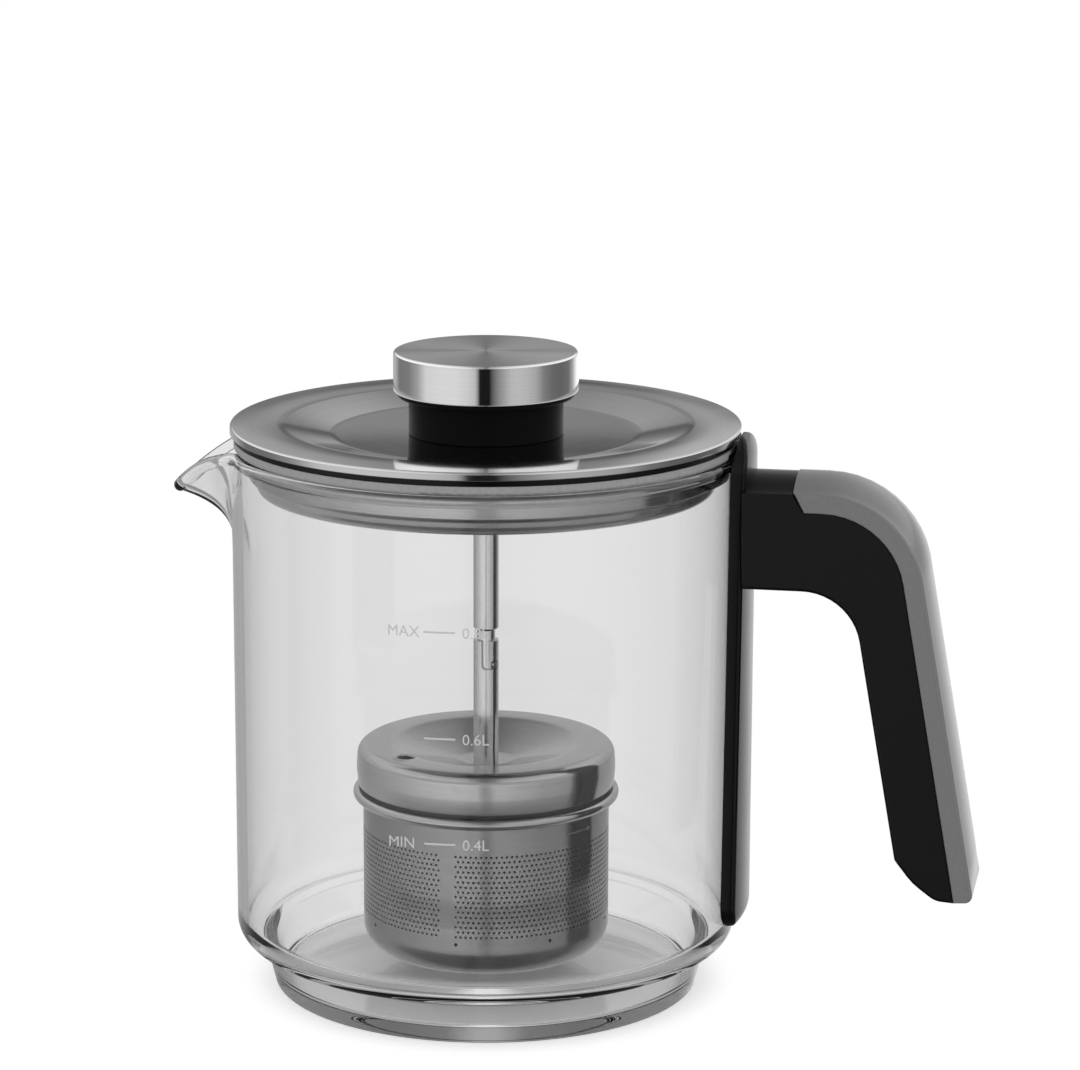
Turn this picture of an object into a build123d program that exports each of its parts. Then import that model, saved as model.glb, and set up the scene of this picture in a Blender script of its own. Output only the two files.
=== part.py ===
from build123d import *
import os
from math import acos, atan2, cos, hypot, radians, sin, tan

# Glass tea jug with a steel lid and a hanging infuser. Millimetres, +Z up. The origin is the
# centre of the foot, on the surface the jug stands on. The handle points to +X, the spout to -X.

# ---- Glass jug ----
JUG_RADIUS = 55.0  # outside of the straight wall
JUG_HEIGHT = 120.0  # top of the rim
GLASS_WALL = 2.0
RIM_RADIUS = 1.4  # fire-polished bead along the mouth
FLOOR = 3.2  # thickness of the pressed bottom
FOOT_HEIGHT = 10.0
FOOT_INSET = 8.3  # the foot's edge on the table, in from the wall
FOOT_FLARE = 2.3  # the foot widens upwards by this much
LEDGE = 5.0  # the wall overhangs the foot by this much
SHOULDER_ROUND = 4.9
FOOT_EDGE = 0.8

# ---- Pouring lip, opposite the handle ----
LIP_ROUND = 15.0  # underside of the lip, seen from the side
LIP_DROOP = 10.5  # the tip hangs this far below the rim
LIP_NOSE = 5.5  # radius of the tip, seen from above
LIP_SPREAD = 20.0  # half the angle that the lip takes of the mouth, degrees
LIP_LEVEL = 1.5  # the lip runs level for this far before it droops
LIP_EDGE = 0.6
LIP_SINK = 0.2  # the lip's root starts this deep in the wall
LIP_NOSE_RATIO = 1.4  # at its root the nose is this much blunter
LIP_SPREAD_RATIO = 0.55  # and the lip this much narrower
LIP_TURNS = (0, 25, 45, 62, 76, 90)  # degrees along the underside's curve

# ---- Strap and clip ----
PAD = 0.4  # adhesive between glass and strap
PAD_WIDTH = 15.0
PAD_MARGIN = 5.0  # the pad ends this far inside the strap
STRAP_THICKNESS = 2.9
STRAP_BOTTOM = 17.0
STRAP_TOP_WIDTH = 19.4
STRAP_BOTTOM_WIDTH = 25.0
STRAP_CORNER = 4.0
HEAD_THICKNESS = 3.5
HEAD_HEIGHT = 4.4  # above the rim
HEAD_ROUND = 3.2
LID_CLEARANCE = 0.4  # between the lid's edge and the head
CLIP_SHEET = 0.8
CLIP_DROP = 4.6  # the clip reaches this far down inside the mouth
CLIP_OUTER_DROP = 7.5  # and this far down behind the glass
CLIP_FOOT = 1.2
CLIP_HALF_ANGLE = 18.0  # inner leg, degrees
CLIP_NECK_HALF_ANGLE = 7.5  # bridge and outer leg, degrees
POCKET_GAP = 0.05

# ---- Handle ----
ARM_TOP = 114.2
ARM_HEIGHT = 21.3
GRIP_WIDTH = 21.4
GRIP_OUT = 50.3  # outer foot of the leg, from the strap
GRIP_BOTTOM = 26.4
GRIP_SLOPE = 10.1  # lean of the leg, degrees
GRIP_DEPTH = 15.4  # leg, from inside to outside
BEND_OUTER = 22.0
BEND_INNER = 12.7
COVER_DEPTH = 4.2  # side band of the cover
COVER_WALL = 1.6
COVER_LEAD = 6.5  # the cover starts this far before the bend
COVER_RAKE = 2.4  # its side band starts this much further back
TOE_CUT = 8.0  # cut corner at the leg's lower end
EDGE_ROUND = 0.8
SNAP_GAP = 0.1
SCREW_RADIUS = 1.6
SCREW_HEAD_RADIUS = 3.0
SCREW_LENGTH = 14.0
SCREW_SPACING = 9.0
INSERT_WALL = 1.0
INSERT_LENGTH = 8.0
INSERT_START = 1.0  # behind the arm's root

# ---- Lid ----
LID_OVERHANG = 0.8  # of the cover over the seal
LID_SHEET = 0.8
HEM = 1.8  # height of the cover's turned-down edge
SEAL_INSET = 0.5  # of the seal's edge from the wall
SEAL_THICKNESS = 2.1
SHADOW_GAP = 1.3  # between seal and cover
LID_MARGIN = 11.0  # flat border round the dish
DISH_SLOPE = 11.3  # width of the dish's slope
DISH_DEPTH = 2.4
DISH_ROUND = 9.0
PLUG_GAP = 0.6  # between the pan and the clip
PLUG_FLANGE = 2.4
PLUG_STEP = 1.4  # the lower half of the pan is this much smaller
PLUG_STEP_DEPTH = 5.4  # below the rim
PLUG_DEPTH = 9.2  # bottom edge, below the rim
PLUG_CORNER = 3.0
PLUG_RECESS = 1.2  # the pan's floor is pressed up by this much
PLUG_TREAD = 6.5  # width of the pan's bottom edge
PLUG_FOLD = 0.4  # bend of the pressed-up floor
CARRIER_WIDTH = 8.8  # of the ring, in from the cover's edge
NOTCH_MARGIN = 1.0  # of the seal's notch beside the clip, degrees

# ---- Knob ----
NECK_RADIUS = 16.7
NECK_HEIGHT = 8.0
FLANGE_RADIUS = 19.2
FLANGE_THICKNESS = 1.3
CAP_RADIUS = 20.0
CAP_HEIGHT = 8.6
CAP_SHEET = 1.0
CAP_EDGE = 0.5
KNOB_INSERT_RADIUS = 4.0
KNOB_INSERT_LENGTH = 9.0
KNOB_INSERT_START = 1.5

# ---- Rod and its bayonet coupling ----
ROD_RADIUS = 2.76
STUD_RADIUS = 2.2
STUD_GAP = 0.1
SPIGOT_RADIUS = 2.0
BORE_GAP = 0.05  # radial, spigot in tube
SPIGOT_LENGTH = 14.0
ROD_END = 79.2  # shoulder of the upper rod
TUBE_TOP = 76.9
ROD_CHAMFER = 0.5
PIN_RADIUS = 0.8
SLOT_GAP = 0.15
SLOT_DEPTH = 5.4  # centre of the pin below the tube's top when locked
SLOT_TURN = 55.0  # degrees from lock to release
SLOT_AZIMUTH = -25.0  # direction of the pin, degrees
NUT_FLATS = 9.0
NUT_HEIGHT = 3.6
WASHER_RADIUS = 6.0
WASHER_THICKNESS = 1.0
SPACER_WALL = 1.6

# ---- Infuser cap ----
INFUSER_RADIUS = 28.5
INFUSER_TOP = 53.8
INFUSER_SKIRT = 8.9
INFUSER_SHEET = 0.6
INFUSER_CORNER = 2.4
BOWL_RADIUS = 20.0  # of the dish in the cap
BOWL_DEPTH = 3.9
BOWL_ROUND = 9.0
SEAT_RADIUS = 6.0
SEAT_ROUND = 3.0
VENT_RADIUS = 2.0
VENT_PLACE = 21.6
VENT_AZIMUTH = -132.0
STEM_NUT_FLATS = 7.0
STEM_NUT_HEIGHT = 3.0
STEM_WASHER_RADIUS = 5.0
STEM_WASHER_THICKNESS = 0.8
STUB_PROUD = 0.7  # thread showing under the nut

# ---- Basket ----
BASKET_RADIUS = 27.1
BASKET_SHEET = 0.5
BASKET_BOTTOM = 7.4
BASKET_CORNER = 6.0
NECK_INSIDE = 4.2  # the basket's neck stands up inside the cap
RING_RADIUS = 1.15  # round section of the basket's ring
RING_SEAT = 0.15  # how far the ring's section is flattened against the cup
RING_GAP = 0.95  # between ring and cap
LUG_COUNT = 3
LUG_RADIUS = 0.9
LUG_REACH = 0.55
LUG_AZIMUTH = 30.0
LEDGE_REACH = 0.5  # of the cap's ledges under the lugs
LEDGE_HEIGHT = 0.8
LEDGE_ABOVE_EDGE = 1.0
LEDGE_ANGLE = 24.0
LUG_GAP = 0.05
STOP_ANGLE = 3.0
DRAIN_COUNT = 8
DRAIN_RADIUS = 0.6
DRAIN_HEIGHT = 8.0  # above the basket's bottom
DRAIN_AZIMUTH = -79.0

# ---- Places that follow ----
INNER_RADIUS = JUG_RADIUS - GLASS_WALL
FOOT_RADIUS = JUG_RADIUS - FOOT_INSET
STRAP_INSIDE = JUG_RADIUS + PAD
STRAP_OUTSIDE = STRAP_INSIDE + STRAP_THICKNESS
BEAD_INSIDE = JUG_RADIUS - GLASS_WALL / 2 - RIM_RADIUS
SEAL_RADIUS = JUG_RADIUS - SEAL_INSET
LID_RADIUS = SEAL_RADIUS + LID_OVERHANG
DISH_TOP_RADIUS = LID_RADIUS - LID_MARGIN
DISH_FLOOR_RADIUS = DISH_TOP_RADIUS - DISH_SLOPE
CARRIER_INNER = LID_RADIUS - CARRIER_WIDTH
PLUG_RADIUS = BEAD_INSIDE - CLIP_SHEET - PLUG_GAP
HEAD_INSIDE = LID_RADIUS + LID_CLEARANCE
HEAD_OUTSIDE = HEAD_INSIDE + HEAD_THICKNESS
SEAL_TOP = JUG_HEIGHT + SEAL_THICKNESS
LID_TOP = SEAL_TOP + SHADOW_GAP + HEM
DISH_FLOOR = LID_TOP - DISH_DEPTH
PLUG_BOTTOM = JUG_HEIGHT - PLUG_DEPTH
PLUG_FLOOR = PLUG_BOTTOM + PLUG_RECESS
NECK_TOP = DISH_FLOOR + NECK_HEIGHT
FLANGE_TOP = NECK_TOP + FLANGE_THICKNESS
NUT_BOTTOM = PLUG_FLOOR - WASHER_THICKNESS - NUT_HEIGHT
INSERT_BOTTOM = DISH_FLOOR + KNOB_INSERT_START
SKIRT_BOTTOM = INFUSER_TOP - INFUSER_SKIRT
SEAT_TOP = INFUSER_TOP - BOWL_DEPTH
PIN_HEIGHT = TUBE_TOP - SLOT_DEPTH
STEM_NUT_TOP = SEAT_TOP - INFUSER_SHEET - STEM_WASHER_THICKNESS
NECK_RIM = SKIRT_BOTTOM + NECK_INSIDE
LEDGE_TOP = SKIRT_BOTTOM + LEDGE_ABOVE_EDGE + LEDGE_HEIGHT
LUG_HEIGHT = LEDGE_TOP + LUG_GAP + LUG_RADIUS
ARM_BOTTOM = ARM_TOP - ARM_HEIGHT
ARM_MIDDLE = ARM_TOP - ARM_HEIGHT / 2
LEAN = tan(radians(GRIP_SLOPE))
GRIP_REACH = STRAP_OUTSIDE + GRIP_OUT
BEND_START = GRIP_REACH - LEAN * (ARM_TOP - GRIP_BOTTOM) - BEND_OUTER * tan(radians(90 - GRIP_SLOPE) / 2)
COVER_START = BEND_START - COVER_LEAD
ABOVE = JUG_HEIGHT  # a length that clears everything above a cut


# ---- Ways of making a form ----
def closed(corners):
    """Closed face in the XZ plane from (across, up, corner radius) triples."""
    points = [(across, up) for across, up, _ in corners]
    radii = [corner for _, _, corner in corners]
    return Plane.XZ * make_face(FilletPolyline(*points, radius=radii, close=True))


def turned(corners):
    """Solid turned about the jug's axis."""
    return revolve(closed(corners), Axis.Z)


def plate(corners, width):
    """Solid of one width across the handle's middle plane."""
    return extrude(closed(corners), width / 2, both=True)


def bar(radius, low, high):
    """Upright round bar on the jug's axis."""
    return Pos(0, 0, low) * Cylinder(radius, high - low, align=(Align.CENTER, Align.CENTER, Align.MIN))


def wedge(start, end, low, high):
    """Upright wedge from the axis out past every ring, between two directions in degrees."""
    middle = radians((start + end) / 2)
    reach = 2 * JUG_RADIUS
    rim = [(reach * cos(turn), reach * sin(turn)) for turn in (radians(start), middle, radians(end))]
    return extrude(Plane.XY.offset(low) * make_face(Polyline((0, 0), *rim, close=True)), high - low)


def hexagon(flats, low, high):
    """Upright hexagonal bar on the jug's axis."""
    return extrude(Plane.XY.offset(low) * RegularPolygon(flats / 2, 6, major_radius=False), high - low)


# ---- Glass jug ----
def nose_outline(reach, nose, half_width, height):
    """Level outline of the lip: a round nose at -X and straight sides that run back into the mouth."""
    back = INNER_RADIUS * cos(radians(LIP_SPREAD)) - GLASS_WALL
    centre = reach - nose
    distance = hypot(centre - back, half_width)
    swing = atan2(half_width, back - centre) - acos(nose / distance)
    touch = (-centre - nose * cos(swing), nose * sin(swing))
    sides = Polyline((touch[0], -touch[1]), (-back, -half_width), (-back, half_width), touch)
    tip = ThreePointArc(touch, (-reach, 0), (touch[0], -touch[1]))
    return Plane.XY.offset(height) * make_face(sides + tip)


def lip_body(inset, lift):
    """Solid under the lip's mouth. The channel is the outside drawn in by inset and up by lift."""
    base = JUG_HEIGHT - LIP_DROOP - LIP_ROUND - RIM_RADIUS
    sections = []
    for turn in LIP_TURNS:
        share = turn / LIP_TURNS[-1]
        reach = JUG_RADIUS - LIP_SINK + LIP_ROUND * (1 - cos(radians(turn))) - inset
        nose = LIP_NOSE * (LIP_NOSE_RATIO + (1 - LIP_NOSE_RATIO) * share) - inset * share
        spread = LIP_SPREAD_RATIO + (1 - LIP_SPREAD_RATIO) * share
        half_width = JUG_RADIUS * sin(radians(LIP_SPREAD)) * spread - inset
        height = base + LIP_ROUND * sin(radians(turn)) + lift
        sections.append(nose_outline(reach, nose, half_width, height))
    lip = loft(sections)
    top = lip.faces().sort_by(Axis.Z)[-1]
    return lip + extrude(top, 2 * LIP_DROOP, dir=(0, 0, 1))


def lip_trim():
    """What is cut away above the rim and the drooping edge of the lip."""
    start = (-JUG_RADIUS - LIP_LEVEL, JUG_HEIGHT)
    tip = (-JUG_RADIUS - LIP_ROUND, JUG_HEIGHT - LIP_DROOP)
    far = -2 * JUG_RADIUS
    droop = TangentArc(start, tip, tangent=(-1, 0))
    high = JUG_HEIGHT + ABOVE
    above = Polyline(tip, (far, tip[1]), (far, high), (0, high), (0, JUG_HEIGHT), start)
    return extrude(Plane.XZ * make_face(droop + above), JUG_RADIUS, both=True)


def pouring_lip():
    """Drawn lip with a fire-polished edge, cut off flush with the inside of the wall."""
    shell = lip_body(0, 0) - lip_body(GLASS_WALL, GLASS_WALL)
    shell -= bar(INNER_RADIUS, 0, JUG_HEIGHT + ABOVE) + lip_trim()
    tip_height = JUG_HEIGHT - LIP_DROOP
    curved = shell.faces().filter_by(GeomType.CYLINDER)
    edges = [edge for face in curved if face.center().Z > tip_height for edge in face.edges()]
    return fillet([edge for edge in edges if edge.length > 2 * GLASS_WALL], LIP_EDGE)


def glass_jug():
    throat = FOOT_HEIGHT + GLASS_WALL
    wall = turned([
        (0, 0, 0),
        (FOOT_RADIUS, 0, FOOT_EDGE),
        (FOOT_RADIUS + FOOT_FLARE, FOOT_HEIGHT - FOOT_EDGE, 0),
        (JUG_RADIUS - LEDGE, FOOT_HEIGHT, 0),
        (JUG_RADIUS, FOOT_HEIGHT, SHOULDER_ROUND),
        (JUG_RADIUS, JUG_HEIGHT - RIM_RADIUS, 0),
        (INNER_RADIUS, JUG_HEIGHT - RIM_RADIUS, 0),
        (INNER_RADIUS, throat, SHOULDER_ROUND),
        (FOOT_RADIUS, throat, GLASS_WALL),
        (FOOT_RADIUS - FOOT_FLARE, FLOOR, GLASS_WALL),
        (0, FLOOR, 0),
    ])
    bead_place = Pos(JUG_RADIUS - GLASS_WALL / 2, JUG_HEIGHT - RIM_RADIUS)
    bead = revolve(Plane.XZ * bead_place * Circle(RIM_RADIUS), Axis.Z)
    return wall + bead - lip_body(GLASS_WALL, GLASS_WALL) + pouring_lip()


# ---- Strap, pad and clip ----
def clip_section(gap):
    """Corners of the clip's neck: hook, bridge and outer leg with a turned-out foot."""
    inside = BEAD_INSIDE - CLIP_SHEET - gap
    behind = STRAP_INSIDE + CLIP_SHEET + gap
    foot_bottom = JUG_HEIGHT - CLIP_OUTER_DROP - gap
    foot_top = foot_bottom + CLIP_SHEET + 2 * gap
    top = JUG_HEIGHT + CLIP_SHEET + gap
    return [
        (inside, top, 0), (inside, JUG_HEIGHT - CLIP_DROP, 0), (BEAD_INSIDE, JUG_HEIGHT - CLIP_DROP, 0),
        (BEAD_INSIDE, JUG_HEIGHT, 0), (STRAP_INSIDE, JUG_HEIGHT, 0), (STRAP_INSIDE, foot_bottom, 0),
        (behind + CLIP_FOOT, foot_bottom, 0), (behind + CLIP_FOOT, foot_top, 0), (behind, foot_top, 0),
        (behind, top, 0),
    ]


def rim_clip():
    neck = turned(clip_section(0)) & wedge(-CLIP_NECK_HALF_ANGLE, CLIP_NECK_HALF_ANGLE, 0, JUG_HEIGHT + ABOVE)
    low = JUG_HEIGHT - CLIP_DROP
    tongue = bar(BEAD_INSIDE, low, JUG_HEIGHT - RIM_RADIUS) - bar(BEAD_INSIDE - CLIP_SHEET, low, JUG_HEIGHT)
    return neck + (tongue & wedge(-CLIP_HALF_ANGLE, CLIP_HALF_ANGLE, 0, JUG_HEIGHT))


def strap_outline():
    """Front view of the strap: it widens downwards and has round ends."""
    top = JUG_HEIGHT + HEAD_HEIGHT
    half_top, half_bottom = STRAP_TOP_WIDTH / 2, STRAP_BOTTOM_WIDTH / 2
    corners = [(-half_bottom, STRAP_BOTTOM), (half_bottom, STRAP_BOTTOM), (half_top, top), (-half_top, top)]
    radii = [STRAP_CORNER, STRAP_CORNER, HEAD_ROUND, HEAD_ROUND]
    return Plane.YZ * make_face(FilletPolyline(*corners, radius=radii, close=True))


def screw_places():
    return [ARM_MIDDLE - SCREW_SPACING / 2, ARM_MIDDLE + SCREW_SPACING / 2]


def lying(shape, start, height):
    """A shape built along +Z from zero, laid along +X at a height."""
    return Pos(start, 0, height) * Rot(0, 90, 0) * shape


def screw(height):
    """Countersunk screw whose head is flush with the strap's inner face."""
    sink = SCREW_HEAD_RADIUS - SCREW_RADIUS
    body = turned([
        (0, 0, 0), (SCREW_HEAD_RADIUS, 0, 0), (SCREW_RADIUS, sink, 0), (SCREW_RADIUS, SCREW_LENGTH, 0),
        (0, SCREW_LENGTH, 0),
    ])
    return lying(body, STRAP_INSIDE, height)


def grip_screws():
    return [screw(height) for height in screw_places()]


def grip_inserts():
    tube = bar(SCREW_RADIUS + INSERT_WALL, 0, INSERT_LENGTH) - bar(SCREW_RADIUS, 0, INSERT_LENGTH)
    return [lying(tube, STRAP_OUTSIDE + INSERT_START, height) for height in screw_places()]


def handle_strap():
    top = JUG_HEIGHT + HEAD_HEIGHT
    section = [
        (STRAP_INSIDE, STRAP_BOTTOM, 0), (STRAP_OUTSIDE, STRAP_BOTTOM, STRAP_THICKNESS - EDGE_ROUND),
        (STRAP_OUTSIDE, ARM_MIDDLE, 0), (HEAD_OUTSIDE, ARM_TOP - EDGE_ROUND, 0),
        (HEAD_OUTSIDE, top, HEAD_ROUND), (HEAD_INSIDE, top, 0), (HEAD_INSIDE, JUG_HEIGHT, 0),
        (STRAP_INSIDE, JUG_HEIGHT, 0),
    ]
    strap = turned(section) & extrude(strap_outline(), HEAD_OUTSIDE)
    pocket = turned(clip_section(POCKET_GAP))
    half_angle = CLIP_NECK_HALF_ANGLE + POCKET_GAP
    strap -= pocket & wedge(-half_angle, half_angle, 0, JUG_HEIGHT + ABOVE)
    for height in screw_places():
        strap -= screw(height)
    return strap


def wall_pad():
    low, high = STRAP_BOTTOM + PAD_MARGIN, JUG_HEIGHT - CLIP_OUTER_DROP - PAD_MARGIN
    sleeve = bar(STRAP_INSIDE, low, high) - bar(JUG_RADIUS, low, high)
    return sleeve & Pos(JUG_RADIUS, 0, 0) * Box(JUG_RADIUS, PAD_WIDTH, 2 * JUG_HEIGHT)


# ---- Handle ----
def leg_line(height, depth):
    """Place of the leaning leg's surface at a height, a depth in from its outer face."""
    return GRIP_REACH - LEAN * (height - GRIP_BOTTOM) - depth / cos(radians(GRIP_SLOPE))


def outer_corner(depth):
    """Corner where the arm's top turns into the leg, a depth in from the outside."""
    return (leg_line(ARM_TOP - depth, depth), ARM_TOP - depth, BEND_OUTER - depth)


def cover_section(outside, inside):
    """Band that follows the arm and the leg between two depths."""
    return [
        (COVER_START + COVER_RAKE * outside / COVER_DEPTH, ARM_TOP - outside, 0),
        outer_corner(outside),
        (leg_line(GRIP_BOTTOM, outside), GRIP_BOTTOM, 0),
        (leg_line(GRIP_BOTTOM, inside), GRIP_BOTTOM, 0),
        outer_corner(inside),
        (COVER_START + COVER_RAKE * inside / COVER_DEPTH, ARM_TOP - inside, 0),
    ]


def handle_form():
    """Outside of arm and leg together, with softened long edges."""
    toe = GRIP_BOTTOM + TOE_CUT
    form = plate([
        (JUG_RADIUS, ARM_TOP, 0), outer_corner(0), (GRIP_REACH, GRIP_BOTTOM, EDGE_ROUND),
        (leg_line(GRIP_BOTTOM, GRIP_DEPTH) + TOE_CUT, GRIP_BOTTOM, 2 * EDGE_ROUND),
        (leg_line(toe, GRIP_DEPTH), toe, TOE_CUT / 2),
        (leg_line(ARM_BOTTOM, GRIP_DEPTH), ARM_BOTTOM, BEND_INNER), (JUG_RADIUS, ARM_BOTTOM, 0),
    ], GRIP_WIDTH)
    sides = form.faces().filter_by(Axis.Y)
    return fillet(sides.edges(), EDGE_ROUND)


def handle_cover():
    shell = handle_form() & plate(cover_section(-COVER_WALL, COVER_DEPTH), GRIP_WIDTH)
    channel = plate(cover_section(COVER_WALL, COVER_DEPTH), GRIP_WIDTH - 2 * COVER_WALL)
    return shell - channel


def handle_grip():
    """Black core of the handle; its tongue fills the cover and its root fits the strap."""
    body = handle_form() - plate(cover_section(-COVER_WALL, COVER_DEPTH), GRIP_WIDTH)
    depth = COVER_WALL + SNAP_GAP
    tongue = plate(cover_section(depth, COVER_DEPTH), GRIP_WIDTH - 2 * depth)
    grip = body + tongue - bar(STRAP_OUTSIDE, 0, JUG_HEIGHT)
    grip -= turned([
        (0, ARM_MIDDLE, 0), (STRAP_OUTSIDE, ARM_MIDDLE, 0), (HEAD_OUTSIDE, ARM_TOP - EDGE_ROUND, 0),
        (HEAD_OUTSIDE, JUG_HEIGHT, 0), (0, JUG_HEIGHT, 0),
    ])
    for height in screw_places():
        seat = bar(SCREW_RADIUS + INSERT_WALL, 0, INSERT_LENGTH)
        grip -= lying(seat, STRAP_OUTSIDE + INSERT_START, height)
        grip -= lying(bar(SCREW_RADIUS, 0, SCREW_LENGTH), STRAP_INSIDE, height)
    return grip


# ---- Lid ----
def lid_cover():
    hole = STUD_RADIUS + STUD_GAP
    under = LID_TOP - LID_SHEET
    return turned([
        (hole, DISH_FLOOR, 0), (DISH_FLOOR_RADIUS, DISH_FLOOR, DISH_ROUND),
        (DISH_TOP_RADIUS, LID_TOP, DISH_ROUND), (LID_RADIUS, LID_TOP, LID_SHEET / 2),
        (LID_RADIUS, LID_TOP - HEM, 0), (LID_RADIUS - LID_SHEET, LID_TOP - HEM, 0),
        (LID_RADIUS - LID_SHEET, under, 0), (DISH_TOP_RADIUS, under, DISH_ROUND),
        (DISH_FLOOR_RADIUS, DISH_FLOOR - LID_SHEET, DISH_ROUND), (hole, DISH_FLOOR - LID_SHEET, 0),
    ])


def lid_carrier():
    """Black ring between cover and pan; its edge is the dark line round the lid."""
    flange_edge = PLUG_RADIUS + PLUG_FLANGE
    line_radius = SEAL_RADIUS - LID_SHEET / 2
    flange_top = SEAL_TOP + LID_SHEET
    under = LID_TOP - LID_SHEET
    return turned([
        (CARRIER_INNER, flange_top, 0), (flange_edge, flange_top, 0), (flange_edge, SEAL_TOP, 0),
        (line_radius, SEAL_TOP, 0), (line_radius, under, 0), (CARRIER_INNER, under, 0),
    ])


def lid_seal():
    """Soft ring on the rim, notched over the clip, which also keeps the lid from turning."""
    ring = turned([
        (PLUG_RADIUS, JUG_HEIGHT, 0), (SEAL_RADIUS, JUG_HEIGHT, EDGE_ROUND), (SEAL_RADIUS, SEAL_TOP, 0),
        (PLUG_RADIUS, SEAL_TOP, 0),
    ])
    notch_angle = CLIP_NECK_HALF_ANGLE + NOTCH_MARGIN
    return ring - wedge(-notch_angle, notch_angle, 0, JUG_HEIGHT + CLIP_SHEET + LID_CLEARANCE)


def lid_plug():
    """Drawn steel pan: flange, straight wall, step, tapered wall and a floor pressed up."""
    hole = STUD_RADIUS + STUD_GAP
    step = JUG_HEIGHT - PLUG_STEP_DEPTH
    low = PLUG_RADIUS - PLUG_STEP
    inside = PLUG_RADIUS - LID_SHEET
    flange = PLUG_RADIUS + PLUG_FLANGE
    tread = low - PLUG_TREAD
    raised = tread - PLUG_RECESS
    bottom_inside = PLUG_BOTTOM + LID_SHEET
    floor_inside = PLUG_FLOOR + LID_SHEET
    flange_top = SEAL_TOP + LID_SHEET
    return turned([
        (flange, SEAL_TOP, 0), (PLUG_RADIUS, SEAL_TOP, 0), (PLUG_RADIUS, step, 0),
        (low, step - LID_SHEET, 0), (low - LID_SHEET, PLUG_BOTTOM, PLUG_CORNER),
        (tread, PLUG_BOTTOM, PLUG_FOLD), (raised, PLUG_FLOOR, PLUG_FOLD), (hole, PLUG_FLOOR, 0),
        (hole, floor_inside, 0), (raised, floor_inside, PLUG_FOLD), (tread, bottom_inside, PLUG_FOLD),
        (low - 2 * LID_SHEET, bottom_inside, PLUG_CORNER - LID_SHEET),
        (low - LID_SHEET, step - LID_SHEET / 2, 0), (inside, step + LID_SHEET / 2, 0),
        (inside, flange_top, 0), (flange, flange_top, 0),
    ])


def lid_spacer():
    low, high = PLUG_FLOOR + LID_SHEET, DISH_FLOOR - LID_SHEET
    hole = STUD_RADIUS + STUD_GAP
    return bar(hole + SPACER_WALL, low, high) - bar(hole, low, high)


# ---- Knob ----
def knob_base():
    boss_radius = CAP_RADIUS - CAP_SHEET
    knob = turned([
        (0, DISH_FLOOR, 0), (NECK_RADIUS, DISH_FLOOR, 0), (NECK_RADIUS, NECK_TOP, 0),
        (FLANGE_RADIUS, NECK_TOP, EDGE_ROUND), (FLANGE_RADIUS, FLANGE_TOP, 0), (boss_radius, FLANGE_TOP, 0),
        (boss_radius, FLANGE_TOP + CAP_HEIGHT - CAP_SHEET, 0), (0, FLANGE_TOP + CAP_HEIGHT - CAP_SHEET, 0),
    ])
    insert_seat = bar(KNOB_INSERT_RADIUS, INSERT_BOTTOM, INSERT_BOTTOM + KNOB_INSERT_LENGTH)
    return knob - insert_seat - bar(STUD_RADIUS + STUD_GAP, DISH_FLOOR, INSERT_BOTTOM)


def knob_cap():
    top = FLANGE_TOP + CAP_HEIGHT
    outside = turned([
        (0, FLANGE_TOP, 0), (CAP_RADIUS, FLANGE_TOP, 0), (CAP_RADIUS, top, CAP_EDGE), (0, top, 0),
    ])
    return outside - bar(CAP_RADIUS - CAP_SHEET, FLANGE_TOP, top - CAP_SHEET)


def knob_insert():
    high = INSERT_BOTTOM + KNOB_INSERT_LENGTH
    return bar(KNOB_INSERT_RADIUS, INSERT_BOTTOM, high) - bar(STUD_RADIUS, INSERT_BOTTOM, high)


# ---- Rod ----
def pin_bar(radius, length):
    """Round bar across the rod at the pin's height and direction."""
    return Pos(0, 0, PIN_HEIGHT) * Rot(0, 0, SLOT_AZIMUTH) * Rot(0, 90, 0) * Cylinder(radius, length)


def upper_rod():
    stud_top = INSERT_BOTTOM + KNOB_INSERT_LENGTH - STUD_GAP
    tip = ROD_END - SPIGOT_LENGTH
    rod = turned([
        (0, tip, 0), (SPIGOT_RADIUS - ROD_CHAMFER, tip, 0), (SPIGOT_RADIUS, tip + ROD_CHAMFER, 0),
        (SPIGOT_RADIUS, ROD_END, 0), (ROD_RADIUS - ROD_CHAMFER, ROD_END, 0),
        (ROD_RADIUS, ROD_END + ROD_CHAMFER, 0), (ROD_RADIUS, NUT_BOTTOM, 0),
        (STUD_RADIUS, NUT_BOTTOM, 0), (STUD_RADIUS, stud_top, 0), (0, stud_top, 0),
    ])
    return rod - pin_bar(PIN_RADIUS, 2 * ROD_RADIUS)


def coupling_pin():
    return pin_bar(PIN_RADIUS, 2 * ROD_RADIUS) & bar(ROD_RADIUS, 0, JUG_HEIGHT)


def rod_nut():
    return hexagon(NUT_FLATS, NUT_BOTTOM, NUT_BOTTOM + NUT_HEIGHT) - bar(STUD_RADIUS, 0, JUG_HEIGHT)


def sealing_washer():
    low, high = NUT_BOTTOM + NUT_HEIGHT, PLUG_FLOOR
    return bar(WASHER_RADIUS, low, high) - bar(STUD_RADIUS, low, high)


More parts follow.
